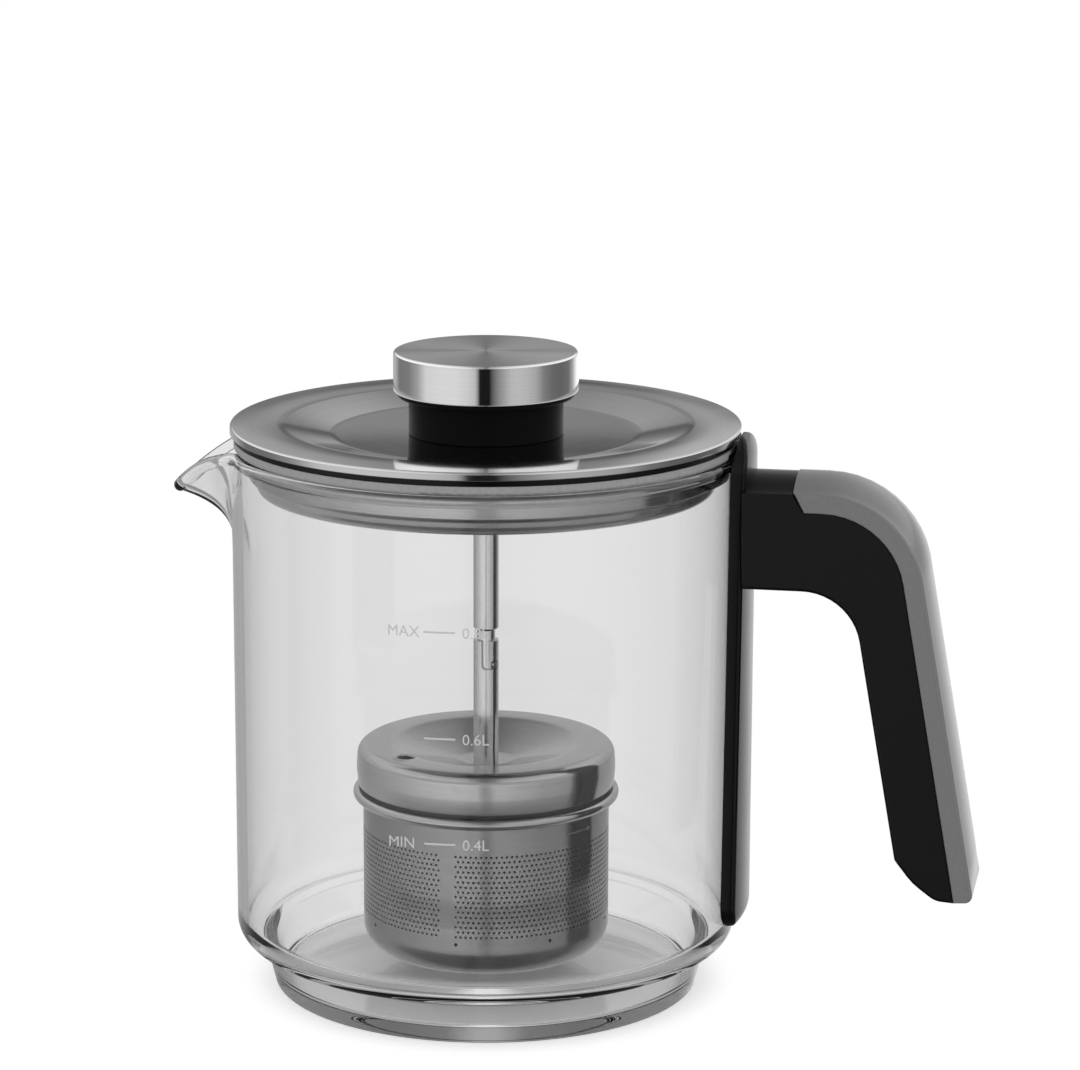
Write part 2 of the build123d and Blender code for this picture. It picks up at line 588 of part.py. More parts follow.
def stem_tube():
    """Tube with two J slots: the pin comes down the upright leg and turns into the level one."""
    stub_end = STEM_NUT_TOP - STEM_NUT_HEIGHT - STUB_PROUD
    stem = turned([
        (0, stub_end, 0), (STUD_RADIUS, stub_end, 0), (STUD_RADIUS, SEAT_TOP, 0), (ROD_RADIUS, SEAT_TOP, 0),
        (ROD_RADIUS, TUBE_TOP, 0), (0, TUBE_TOP, 0),
    ])
    stem -= bar(SPIGOT_RADIUS + BORE_GAP, ROD_END - SPIGOT_LENGTH - ROD_CHAMFER, TUBE_TOP)
    half_slot = PIN_RADIUS + SLOT_GAP
    for side in (0, 180):
        lock = SLOT_AZIMUTH + side
        stem -= wedge(lock - SLOT_TURN, lock, PIN_HEIGHT - half_slot, PIN_HEIGHT + half_slot)
        for direction in (lock, lock - SLOT_TURN):
            stem -= Rot(0, 0, direction) * lying(bar(half_slot, 0, 2 * ROD_RADIUS), 0, PIN_HEIGHT)
        leg = Box(2 * ROD_RADIUS, 2 * half_slot, SLOT_DEPTH, align=(Align.MIN, Align.CENTER, Align.MIN))
        stem -= Pos(0, 0, PIN_HEIGHT) * Rot(0, 0, lock - SLOT_TURN) * leg
    return stem


# ---- Infuser cap ----
def lug_directions():
    return [LUG_AZIMUTH + 360 / LUG_COUNT * number for number in range(LUG_COUNT)]


def infuser_lid():
    """Drawn cap with a dish, a vent, and a ledge and a stop inside for each of the basket's lugs."""
    hole = STUD_RADIUS
    under = INFUSER_TOP - INFUSER_SHEET
    inside = INFUSER_RADIUS - INFUSER_SHEET
    cap = turned([
        (hole, SEAT_TOP, 0), (SEAT_RADIUS, SEAT_TOP, SEAT_ROUND), (BOWL_RADIUS, INFUSER_TOP, BOWL_ROUND),
        (INFUSER_RADIUS, INFUSER_TOP, INFUSER_CORNER), (INFUSER_RADIUS, SKIRT_BOTTOM, 0),
        (inside, SKIRT_BOTTOM, 0), (inside, under, INFUSER_CORNER - INFUSER_SHEET),
        (BOWL_RADIUS, under, BOWL_ROUND), (SEAT_RADIUS, SEAT_TOP - INFUSER_SHEET, SEAT_ROUND),
        (hole, SEAT_TOP - INFUSER_SHEET, 0),
    ])
    ledge = bar(inside, LEDGE_TOP - LEDGE_HEIGHT, LEDGE_TOP) - bar(inside - LEDGE_REACH, 0, JUG_HEIGHT)
    stop_top = LUG_HEIGHT + LUG_RADIUS
    stop = bar(inside, LEDGE_TOP - LEDGE_HEIGHT, stop_top) - bar(inside - LEDGE_REACH, 0, JUG_HEIGHT)
    for azimuth in lug_directions():
        start = azimuth - STOP_ANGLE
        cap += ledge & wedge(start, start + LEDGE_ANGLE, 0, JUG_HEIGHT)
        cap += stop & wedge(start - STOP_ANGLE, start, 0, JUG_HEIGHT)
    vent = Rot(0, 0, VENT_AZIMUTH) * Pos(VENT_PLACE, 0, INFUSER_TOP) * Cylinder(VENT_RADIUS, 2 * BOWL_DEPTH)
    return cap - vent


def stem_washer():
    low, high = STEM_NUT_TOP, SEAT_TOP - INFUSER_SHEET
    return bar(STEM_WASHER_RADIUS, low, high) - bar(STUD_RADIUS, low, high)


def stem_nut():
    nut = hexagon(STEM_NUT_FLATS, STEM_NUT_TOP - STEM_NUT_HEIGHT, STEM_NUT_TOP)
    return nut - bar(STUD_RADIUS, 0, JUG_HEIGHT)


# ---- Basket ----
def basket_cup():
    inside = BASKET_RADIUS - BASKET_SHEET
    cup = turned([
        (0, BASKET_BOTTOM, 0), (BASKET_RADIUS, BASKET_BOTTOM, BASKET_CORNER), (BASKET_RADIUS, NECK_RIM, 0),
        (inside, NECK_RIM, 0), (inside, BASKET_BOTTOM + BASKET_SHEET, BASKET_CORNER - BASKET_SHEET),
        (0, BASKET_BOTTOM + BASKET_SHEET, 0),
    ])
    drain = Pos(BASKET_RADIUS, 0, BASKET_BOTTOM + DRAIN_HEIGHT) * Rot(0, 90, 0)
    for number in range(DRAIN_COUNT):
        turn = Rot(0, 0, DRAIN_AZIMUTH + 360 / DRAIN_COUNT * number)
        cup -= turn * drain * Cylinder(DRAIN_RADIUS, BASKET_CORNER)
    return cup


def basket_ring():
    centre = Pos(BASKET_RADIUS + RING_RADIUS - RING_SEAT, SKIRT_BOTTOM - RING_GAP - RING_RADIUS)
    ring = revolve(Plane.XZ * centre * Circle(RING_RADIUS), Axis.Z)
    return ring - bar(BASKET_RADIUS, 0, JUG_HEIGHT)


def basket_lugs():
    lugs = []
    for azimuth in lug_directions():
        stud = Rot(0, 0, azimuth) * lying(bar(LUG_RADIUS, 0, BASKET_RADIUS + LUG_REACH), 0, LUG_HEIGHT)
        lugs.append(stud - bar(BASKET_RADIUS, 0, JUG_HEIGHT))
    return lugs


# ---- Files, one for each piece ----
PIECES = [
    glass_jug, handle_strap, rim_clip, wall_pad, handle_grip, handle_cover, grip_screws, grip_inserts,
    lid_cover, lid_carrier, lid_seal, lid_plug, lid_spacer, knob_base, knob_cap, knob_insert,
    upper_rod, coupling_pin, rod_nut, sealing_washer,
    stem_tube, infuser_lid, stem_washer, stem_nut,
    basket_cup, basket_ring, basket_lugs,
]

os.makedirs("parts", exist_ok=True)
for make in PIECES:
    shape = make()
    if isinstance(shape, list):
        shape = Compound(children=shape)
    export_step(shape, f"parts/{make.__name__}.step")
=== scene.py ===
from math import acos, atan2, cos, hypot, pi, radians, sin, sqrt, tan, tau

import bmesh
import bpy
import numpy as np
from mathutils import Matrix, Vector


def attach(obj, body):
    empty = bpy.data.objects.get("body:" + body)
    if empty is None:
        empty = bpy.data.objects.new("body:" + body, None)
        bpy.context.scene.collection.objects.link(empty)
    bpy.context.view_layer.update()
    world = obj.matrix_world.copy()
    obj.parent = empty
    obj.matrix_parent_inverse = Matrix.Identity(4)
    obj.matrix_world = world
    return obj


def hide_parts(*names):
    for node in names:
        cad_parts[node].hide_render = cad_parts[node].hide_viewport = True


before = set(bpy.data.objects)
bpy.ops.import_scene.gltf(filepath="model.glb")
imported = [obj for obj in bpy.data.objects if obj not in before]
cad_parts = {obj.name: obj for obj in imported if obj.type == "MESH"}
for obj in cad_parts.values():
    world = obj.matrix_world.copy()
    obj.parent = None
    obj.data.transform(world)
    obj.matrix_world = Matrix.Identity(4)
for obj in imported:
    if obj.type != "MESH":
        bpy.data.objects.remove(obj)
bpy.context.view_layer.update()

# Glass tea jug with a steel lid and a hanging infuser. Outlines are written in millimetres, in
# the part's own frame: +Z up from the table, the handle towards +X, the spout towards -X.
MM = 0.001
TURN_STEPS = 256  # segments round a turned piece
ARC_STEP = radians(7.5)  # longest step along a rounded corner
SHARP_ANGLE = radians(34)
MERGE_DISTANCE = 0.002  # vertices nearer than this become one
SLIVER = 0.001  # edges shorter than this are taken out

# ---- Glass jug ----
JUG_RADIUS = 55.0
JUG_HEIGHT = 120.0
GLASS_WALL = 2.0
BEAD_RADIUS = 1.4
FLOOR = 3.2
FOOT_HEIGHT = 10.0
FOOT_RADIUS = 46.7
FOOT_FLARE = 2.3
LEDGE = 5.0
SHOULDER = 4.9

# ---- Pouring lip ----
LIP_HEIGHT = 21.0  # the wall starts to lean out this far below its end
LIP_CURL = 0.5  # how much of its lean comes in the last bit
EARLY_POWER = 3  # the lean grows with this power of the height, and its last bit with the next
LATE_POWER = 8
LIP_REACH = 68.6  # end of the wall at the tip, inside the bead
LIP_NOSE = 6.0
LIP_SPREAD = radians(27)
LIP_BLEND = 4.0  # softens the fold between wall and lip
LIP_DROOP = 11.0
DROOP_POWER = 1.35  # 1 lets the lip's edge fall in a straight line
NOSE_FIELD = radians(6)  # parts of the mouth that are drawn with finer steps
LIP_FIELD = radians(30)
NOSE_STEP = radians(0.25)
LIP_STEP = radians(0.5)
ROUND_STEP = radians(1.25)
BEAD_START = radians(-44.4)  # where the bead's section leaves the wall
BEAD_STEPS = 14
WALL_STEPS = 40
LOW_WALL = 86.0  # the wall is straight up to here in every direction
LOW_WALL_STEPS = 6

# ---- Strap and handle ----
STRAP_INSIDE = 55.4
STRAP_OUTSIDE = 58.3
HEAD_INSIDE = 55.7
HEAD_OUTSIDE = 58.6
STRAP_BOTTOM = 17.0
STRAP_TOP = 124.5
STRAP_TOP_WIDTH = 19.4
STRAP_BOTTOM_WIDTH = 25.0
STRAP_CORNER = 5.0
STRAP_EDGE = 0.9
STRAP_BACK_EDGE = 0.2
STRAP_END_SHARE = 0.75  # how much of its thickness the band loses towards its lower end
STRAP_SECTIONS = 46
END_STEPS = 12  # extra sections where an end is round
EDGE_STEPS = 6
FACE_SHARE = 0.9  # part of the outer face's width that has points of its own
FACE_STEPS = 8
BACK_SHARE = 0.85  # the same for the inner face
BACK_STEPS = 6
HEAD_ROUND = 5.6
HEAD_LEFT = 0.35  # thickness left at the very top of the head
HEAD_CORNER = 8.0
ARM_START = 57.0
ARM_TOP = 114.2
ARM_HEIGHT = 21.3
GRIP_WIDTH = 21.4
GRIP_REACH = 108.4
GRIP_BOTTOM = 25.8
GRIP_SLOPE = radians(10.1)
GRIP_DEPTH = 15.4
BEND_OUTER = 22.0
BEND_INNER = 12.7
COVER_DEPTH = 4.2
COVER_START = 68.0
COVER_RAKE = 2.4
COVER_GAP = 0.15  # between the arm's step and the cover's front end
TOE_CORNERS = (  # outwards from the leg's inner side, above its end, and rounding
    (7.5, 0.0, 5.0), (3.0, 3.8, 14.0), (0.0, 8.8, 2.0),
)
TOE_ROUND = 1.7
EDGE_ROUND = 0.8
CROWN = 0.45  # the outer side of arm and cover swells this much in the middle
CROWN_ON_TOP = 2.35  # and this much more on top of the arm
CROWN_STEPS = 7
CROWN_FADE = (2.2, 8.0)  # above the leg's end: no crown, full crown
FADE_STEPS = 7
SEAM_ROUND = 0.25  # edges that meet along the seam between grip and cover
SIDE_INSET = 0.05  # the flat sides start this far inside their rounded edges
ROUND_STEPS = 7
ARM_STEP = 0.25  # the arm's top lies this much below the cover's
ARM_MIDDLE = ARM_TOP - ARM_HEIGHT / 2

# ---- Lid ----
LID_RADIUS = 55.3
LID_SHEET = 0.8
LID_TOP = 125.2
HEM = 1.8
SEAL_RADIUS = 54.5
SEAL_TOP = 122.1
DISH_TOP_RADIUS = 44.3
DISH_FLOOR_RADIUS = 33.0
DISH_DEPTH = 2.4
DISH_ROUND = 9.0
PLUG_RADIUS = 51.2
PLUG_STEP = 1.4
PLUG_TAPER = 0.28
PLUG_STEP_HEIGHT = 114.6
PLUG_BOTTOM = 110.8
PLUG_FLOOR = 112.0
PLUG_TREAD = 6.5
PLUG_RAMP = 1.2
PLUG_FLANGE = 2.4
CARRIER_WIDTH = 8.8
STUD_HOLE = 2.3

# ---- Knob ----
NECK_RADIUS = 16.7
NECK_TOP = 130.8
FLANGE_RADIUS = 19.2
FLANGE_TOP = 132.1
CAP_RADIUS = 20.0
CAP_TOP = 140.7
CAP_WALL = 1.0
CAP_EDGES = (0.3, 0.8)  # the side is flat between these distances from its lower and upper end
TOP_FACING = 0.97  # faces that look up more than this are turned, the others polished

# ---- Rod ----
ROD_RADIUS = 2.76
STUD_RADIUS = 2.2
SPIGOT_RADIUS = 2.0
ROD_TIP = 65.2
ROD_END = 79.2
ROD_TOP = 107.4
STUD_TOP = 133.2
ROD_BEVEL = 0.5
ROD_STEPS = 96

# ---- Infuser cap and basket ----
CAP_SHEET = 0.6
INFUSER_RADIUS = 28.5
INFUSER_TOP = 53.8
SKIRT_BOTTOM = 44.9
BOWL_RADIUS = 20.0
SEAT_RADIUS = 6.0
SEAT_TOP = 49.9
CAP_CROWN = 0.35  # the cap's side swells this much in the middle
CAP_CROWN_HEIGHT = 48.6
VENT_RADIUS = 2.0
VENT_PLACE = 21.6
VENT_AZIMUTH = radians(-132)
VENT_CUT = (-6.0, 3.0)  # the vent's cutter, from the cap's top
VENT_STEPS = 48
BASKET_RADIUS = 27.1
BASKET_WALL = 0.5
BASKET_BOTTOM = 7.4
BASKET_CORNER = 6.0
BASKET_NECK = 49.1
FLOOR_RING = 9.0  # the floor is cut up at this radius
RING_RADIUS = 1.15
RING_HEIGHT = 42.8
RING_SEAT = 0.15  # the ring sits this deep in the cup's wall
RING_STEPS = 24
HOLE_RADIUS = 0.28
HOLE_COLUMNS = 154
HOLE_ROWS = 17
HOLE_ROW_HEIGHT = 1.13
HOLES_BOTTOM = 16.6  # lower edge of the lowest row
SEAM_COLUMNS = 3
SEAM_AZIMUTH = radians(-97)
SHEET_START = SEAM_AZIMUTH + tau / HOLE_COLUMNS * (SEAM_COLUMNS + 0.5) / 2
SHEET_MERGE = 2e-6  # in metres
FACING_OUT = 0.5  # faces that look outwards less than this are inner or level ones, and get painted shade
DRAINS_BOTTOM = 14.2
DRAIN_RADIUS = 0.42
DRAIN_COUNT = 8
DRAIN_EVERY = 19  # fields from one drain hole to the next
ARROW_LEFT = -4.0
ARROW_HEAD = 1.5
ARROW_HEIGHT = 38.6
ARROW_AZIMUTH = radians(-31)

# ---- Marks printed on the glass ----
FRONT = radians(-90)
SCALE = (("MAX", "0.8L", 91.6), ("", "0.6L", 69.0), ("MIN", "0.4L", 46.3))
PRINT_HEIGHT = 2.3
PRINT_LIFT = 0.03  # above the wall that it is printed on
PRINT_CURVE_STEPS = 3
CAPITAL_SHARE = 0.7  # height of a capital letter in type of size 1
PRINT_STROKE = 0.4
PRINT_LINE = 6.6
PRINT_LINE_STEPS = 10
PRINT_WORD_LEFT = -10.3
PRINT_LINE_LEFT = -2.4
PRINT_NUMBER_LEFT = 5.6

# ---- Finishes ----
NOISE_RANGE = (0.25, 0.75)  # most of a noise lies between these
TURNED_TONES = (0.93, 1.05)  # darkest and lightest marks, as shares of the tone
DRAWN_TONES = (0.95, 1.03)
MOULDED_TONES = (0.9, 1.1)
TURNED_GLOSS = (0.12, 0.94)  # roughness in shares of its level: how much it varies, and the least
DRAWN_GLOSS = (0.25, 0.85)
MOULDED_GLOSS = (0.92, 1.08)  # least and most
STEEL_PATCHES = (90, -0.02, 0.02)  # scale, and how much the roughness changes
PLASTIC_PATCHES = 60
DRAWN_STRETCH = (1, 1, 0.02)
DRAWN_GRAIN = 2600
TURNED_DEPTH = 0.02
MOULDED_DEPTH = 0.01
GLASS_GREY = 0.965
GLASS_INDEX = 1.47
GLASS_DENSITY = 8.0
GLASS_STRETCH = (1, 1, 0.35)
GLASS_WAVES = {"Scale": 45, "Detail": 1}
WAVE_STRENGTH = 0.25
WAVE_DEPTH = 0.06

# ---- Studio ----
CAMERA_PLACE = (0.1657, -0.8525, 0.2937)  # in metres
CAMERA_PITCH = radians(13.66)
CAMERA_TURN = radians(11)
CAMERA_SHIFT = (0.05, 0.072)
CAMERA_LENS = 136.45
SENSOR_WIDTH = 36
FRONT_LIGHT = radians(-79)  # towards the camera
MIRROR_DEPTH = 0.5  # a path with more mirrorings than this is seen in a surface
THROUGH_DEPTH = 0.5  # a path that has passed more surfaces of glass than this comes through glass
WITHIN_DEPTH = 3.5  # and one that has passed more than this comes back from inside the jug
BANDS = (  # degrees from the camera's direction, seen from above, and light from there
    (-180, 0.4), (-165, 0.5), (-150, 0.5), (-136, 0.22), (-111, 0.26), (-95, 0.43), (-88, 0.6),
    (-80, 0.84), (-60, 0.9), (-38, 0.9), (-22, 0.78), (-14, 0.66), (-10.5, 0.4), (-8, 0.01),
    (4.5, 0.01), (6, 0.08), (10.5, 0.2), (16, 0.33), (31, 0.62), (40, 0.65), (52, 0.6), (64, 0.5),
    (76, 0.27), (90, 0.18), (107, 0.16), (124, 0.2), (135, 0.45), (148, 1.05), (160, 1.3),
    (174, 1.2), (180, 0.5),
)
INNER_BANDS = (  # the same for steel inside the glass
    (-180, 0.5), (-130, 0.45), (-100, 0.6), (-80, 0.7), (-50, 0.95), (-20, 1.1), (-7, 1.0),
    (-3, 0.6), (3, 0.6), (9, 0.95), (24, 0.85), (50, 0.62), (79, 0.5), (84, 0.07), (111, 0.07),
    (117, 0.45), (135, 0.5), (180, 0.5),
)
OVERHEAD = (  # by how far to the left or right of the camera's direction the light comes from
    (-1.0, 1.15), (-0.35, 0.85), (-0.12, 0.42), (-0.05, 0.34), (-0.025, 0.24), (0.03, 0.21),
    (0.055, 0.44), (0.12, 0.47), (0.35, 0.85), (1.0, 1.0),
)
INNER_OVERHEAD = (
    (-1.0, 1.0), (-0.25, 0.8), (-0.08, 0.35), (0.0, 0.2), (0.08, 0.35), (0.25, 0.8), (1.0, 1.0),
)
INNER_LOW = 0.62  # inside the glass, light from a little above the level
LIFT = ((0.179, 0.196), (0.56, 1.4))  # rise above the level, and how much light from there grows
FALL = ((0.3, 0.6), (1.0, 0.8))  # and how it fades again higher up
LEVEL_RISE = (0.02, 0.16)  # between these the bands give way to the light from above
INNER_RISE = (0.32, 0.5)  # the same inside the glass, for the low light there
SINK = (-0.3, -0.55)  # and here they give way to the light from underneath
UNDERNEATH = 0.12
INNER_UNDERNEATH = (  # from the far side to the near
    (-1.0, 0.6), (-0.3, 0.5), (0.1, 0.12), (1.0, 0.12),
)
WITHIN_GLASS = (  # light that reaches the eye by a reflection inside the glass itself
    (-1.0, 0.42), (-0.5, 0.42), (-0.3, 0.34), (-0.12, 0.42), (-0.03, 0.85), (0.03, 0.85),
    (0.12, 0.42), (0.3, 0.34), (0.5, 0.42), (1.0, 0.42),
)
BEHIND_GLASS = (  # light seen straight through the glass, by degrees from the camera's direction
    (-180, 0.76), (-140, 0.76), (-105, 0.5), (-60, 0.35), (60, 0.35), (105, 0.5), (140, 0.76),
    (180, 0.76),
)
DULL_LIGHT = 0.95  # on surfaces without gloss
FLOOR_RADIUS = 2500.0
FLOOR_RINGS = (0, 0.2, 0.5, 1)
FLOOR_STEPS = 96
FLOOR_DROP = 0.02  # below the foot
FLOOR_GREY = 0.82
FLOOR_ROUGHNESS = 0.9
FLOOR_PAINTED_GLOW = (0.12, 0.5)  # painted light: the floor glows least under the basket, a painted shade, and most under the rim of the foot
PAINTED_GLOW_SPREAD = (16.0, 40.0)
FLOOR_FADE = (46.0, 56.0)  # between these distances from the axis the floor turns white
FLOOR_THROUGH_GLASS = 0.86


# ---- Ways of making a mesh ----
def corner_points(corners, index):
    """Points of one corner of a closed outline of (across, up, corner radius) triples."""
    across, up, radius = corners[index]
    here = Vector((across, up))
    if radius == 0:
        return [here]
    before = (Vector(corners[index - 1][:2]) - here).normalized()
    after = (Vector(corners[(index + 1) % len(corners)][:2]) - here).normalized()
    half = before.angle(after) / 2
    centre = here + (before + after).normalized() * radius / sin(half)
    start = here + before * radius / tan(half) - centre
    turn = (pi - 2 * half) * (1 if before.cross(after) < 0 else -1)
    steps = max(2, round(abs(turn) / ARC_STEP))
    return [centre + Matrix.Rotation(turn * step / steps, 2) @ start for step in range(steps + 1)]


def rounded(corners):
    """Points of an outline, its round corners as arcs."""
    return [point for index in range(len(corners)) for point in corner_points(corners, index)]


def raw_mesh(name, vertices, faces):
    """Mesh from vertices in millimetres."""
    mesh = bpy.data.meshes.new(name)
    mesh.from_pydata([tuple(MM * value for value in vertex) for vertex in vertices], [], faces)
    return mesh


def placed(name, data):
    """New object at the origin that holds this data."""
    made = bpy.data.objects.new(name, data)
    bpy.context.scene.collection.objects.link(made)
    return made


def piece_from(name, vertices, faces):
    """Object from vertices in millimetres, with doubles merged and faces turned outwards."""
    mesh = raw_mesh(name, vertices, faces)
    work = bmesh.new()
    work.from_mesh(mesh)
    bmesh.ops.remove_doubles(work, verts=work.verts, dist=MERGE_DISTANCE * MM)
    bmesh.ops.dissolve_degenerate(work, edges=work.edges, dist=SLIVER * MM)
    bmesh.ops.recalc_face_normals(work, faces=work.faces)
    work.to_mesh(mesh)
    work.free()
    mesh.shade_smooth()
    mesh.set_sharp_from_angle(angle=SHARP_ANGLE)
    return placed(name, mesh)


def ring_faces(low, high, count):
    """Faces between two closed rows of vertices, each given by its first vertex."""
    pairs = [(step, (step + 1) % count) for step in range(count)]
    return [(low + step, low + after, high + after, high + step) for step, after in pairs]


def loops_joined(name, loops, around=True, capped=False):
    """Piece from closed loops of points, each joined to the next, and around also last to first."""
    count = len(loops[0])
    vertices = [point for loop in loops for point in loop]
    faces = []
    for row in range(len(loops) if around else len(loops) - 1):
        faces += ring_faces(row * count, (row + 1) % len(loops) * count, count)
    if capped:
        faces.append(tuple(range(count)))
        faces.append(tuple(range((len(loops) - 1) * count, len(loops) * count)))
    return piece_from(name, vertices, faces)


def lathe_rows(path, segments, start):
    """Vertices and faces of an open outline turned about the axis."""
    vertices = []
    for across, up in path:
        for step in range(segments):
            azimuth = start + tau * step / segments
            vertices.append((across * cos(azimuth), across * sin(azimuth), up))
    faces = []
    for row in range(len(path) - 1):
        faces += ring_faces(row * segments, (row + 1) * segments, segments)
    return vertices, faces


def put_together(parts):
    """Vertices and faces of several parts as one."""
    vertices, faces = [], []
    for points, part_faces in parts:
        first = len(vertices)
        vertices += points
        faces += [tuple(first + index for index in face) for face in part_faces]
    return vertices, faces


def turned(name, corners, steps=TURN_STEPS):
    """Solid turned about the jug's axis from the corners of its closed outline."""
    outline = rounded(corners)
    loops = []
    for step in range(steps):
        azimuth = tau * step / steps
        loops.append([(p.x * cos(azimuth), p.x * sin(azimuth), p.y) for p in outline])
    return loops_joined(name, loops)


def plain_mesh(piece):
    """The piece with its modifiers made into mesh."""
    evaluated = piece.evaluated_get(bpy.context.evaluated_depsgraph_get())
    mesh = bpy.data.meshes.new_from_object(evaluated)
    piece.modifiers.clear()
    piece.data = mesh
    return piece


def finished(piece, body, slot, material, *stands_for):
    """Dresses a piece, lets it ride on its body and hides the CAD nodes that it stands for."""
    piece.data.materials.clear()
    piece.data.materials.append(material)
    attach(piece, body)
    if stands_for:
        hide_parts(*stands_for)
    return piece


def second_finish(piece, material, chosen):
    """Gives the faces that chosen says yes to a second material."""
    piece.data.materials.append(material)
    for face in piece.data.polygons:
        face.material_index = 1 if chosen(face) else 0


# ---- Materials ----
def add(tree, kind, inputs=(), **settings):
    """Adds a shader node; an input is another node's output or a plain value."""
    made = tree.nodes.new(kind)
    for name, value in settings.items():
        setattr(made, name, value)
    for socket, value in dict(inputs).items():
        if isinstance(value, bpy.types.NodeSocket):
            tree.links.new(value, made.inputs[socket])
        else:
            made.inputs[socket].default_value = value
    return made


def blank_material(name, **values):
    """New material whose shader has the given plain values, by socket name with _ for a space."""
    material = bpy.data.materials.new(name)
    material.use_nodes = True
    tree = material.node_tree
    surface = tree.nodes["Principled BSDF"]
    for socket, value in values.items():
        surface.inputs[socket.replace("_", " ")].default_value = value
    return material, tree, surface


def feed(tree, surface, **outputs):
    """Links outputs of nodes to the shader's sockets, by name with _ for a space."""
    for socket, output in outputs.items():
        tree.links.new(output, surface.inputs[socket.replace("_", " ")])


def grey(level):
    return (level, level, level, 1)


def number(tree, kind, first, second=0.0, third=0.0):
    """Number worked out from one, two or three others."""
    return add(tree, "ShaderNodeMath", {0: first, 1: second, 2: third}, operation=kind).outputs[0]


def mapped(tree, value, source, target=(0.0, 1.0), **settings):
    """Number carried over from one range to another."""
    ends = {"From Min": source[0], "From Max": source[1], "To Min": target[0], "To Max": target[1]}
    return add(tree, "ShaderNodeMapRange", {"Value": value, **ends}, **settings).outputs["Result"]


def blended(tree, share, first, second):
    """Colour that goes from first to second; each is the level of a grey or another colour."""
    mix = add(tree, "ShaderNodeMix", {"Factor": share}, data_type="RGBA")
    for socket, value in (("A", first), ("B", second)):
        if isinstance(value, float):
            mix.inputs[socket].default_value = grey(value)
        else:
            tree.links.new(value, mix.inputs[socket])
    return mix.outputs["Result"]


def place_on(tree):
    """Place on the piece, in metres."""
    return add(tree, "ShaderNodeTexCoord").outputs["Object"]


def spread_noise(tree, where, scale, low, high, detail=3.0):
    """Noise mapped to a range, as a plain number."""
    noise = add(tree, "ShaderNodeTexNoise", {"Vector": where, "Scale": scale, "Detail": detail})
    return mapped(tree, noise.outputs["Fac"], NOISE_RANGE, (low, high))


def toned(tree, share, tone, spread):
    """Grey that varies about a tone, between two shares of it."""
    return blended(tree, share, tone * spread[0], tone * spread[1])


def raise_marks(tree, surface, height, strength, depth):
    """Lets marks catch the light as if they were this deep, in millimetres."""
    inputs = {"Height": height, "Strength": strength, "Distance": depth * MM}
    feed(tree, surface, Normal=add(tree, "ShaderNodeBump", inputs).outputs["Normal"])


def length_of(tree, vector):
    """Length of a vector, as a plain number."""
    return add(tree, "ShaderNodeVectorMath", {0: vector}, operation="LENGTH").outputs["Value"]


def ring_place(tree):
    """Distance from the axis and height, for marks of turning, and the place, flat and full."""
    place = place_on(tree)
    parts = add(tree, "ShaderNodeSeparateXYZ", {"Vector": place}).outputs
    flat = add(tree, "ShaderNodeCombineXYZ", {"X": parts["X"], "Y": parts["Y"]}).outputs["Vector"]
    rings = add(tree, "ShaderNodeCombineXYZ", {"X": length_of(tree, flat), "Y": parts["Z"]})
    return rings.outputs["Vector"], flat, place


def stretch_direction(tree, flat):
    """Direction across the rings that turning leaves, along which a highlight is stretched."""
    def crossed(first, second):
        made = add(tree, "ShaderNodeVectorMath", {0: first, 1: second}, operation="CROSS_PRODUCT")
        return made.outputs[0]

    facing = add(tree, "ShaderNodeNewGeometry").outputs["Normal"]
    across = crossed(facing, crossed((0, 0, 1), flat))
    return add(tree, "ShaderNodeVectorMath", {0: across}, operation="NORMALIZE").outputs[0]


def turned_steel(name, tone, roughness, grain, anisotropy, bump):
    """Steel with fine rings from turning or spinning, and a stretched highlight across them."""
    material, tree, surface = blank_material(name, Metallic=1.0, Anisotropic=anisotropy)
    rings, flat, place = ring_place(tree)
    share = spread_noise(tree, rings, grain, 0, 1, detail=6)
    level = number(tree, "MULTIPLY_ADD", share, *(part * roughness for part in TURNED_GLOSS))
    feed(
        tree, surface, Base_Color=toned(tree, share, tone, TURNED_TONES),
        Roughness=number(tree, "ADD", level, spread_noise(tree, place, *STEEL_PATCHES)),
        Tangent=stretch_direction(tree, flat),
    )
    raise_marks(tree, surface, share, bump, TURNED_DEPTH)
    return material


def drawn_steel(name, tone, roughness):
    """Steel drawn lengthwise: polished, with faint upright lines."""
    material, tree, surface = blank_material(name, Metallic=1.0)
    lines = add(tree, "ShaderNodeMapping", {"Vector": place_on(tree), "Scale": DRAWN_STRETCH})
    share = spread_noise(tree, lines.outputs["Vector"], DRAWN_GRAIN, 0, 1)
    level = number(tree, "MULTIPLY_ADD", share, *(part * roughness for part in DRAWN_GLOSS))
    feed(tree, surface, Base_Color=toned(tree, share, tone, DRAWN_TONES), Roughness=level)
    return material


def moulded_plastic(name, tone, roughness, grain=2400, bump=0.25, **values):
    """Moulded plastic with a fine even texture and slight variation of its gloss."""
    material, tree, surface = blank_material(name, **values)
    place = place_on(tree)
    share = spread_noise(tree, place, grain, 0, 1, detail=2)
    least, most = (part * roughness for part in MOULDED_GLOSS)
    level = spread_noise(tree, place, PLASTIC_PATCHES, least, most)
    feed(tree, surface, Base_Color=toned(tree, share, tone, MOULDED_TONES), Roughness=level)
    raise_marks(tree, surface, share, bump, MOULDED_DEPTH)
    return material


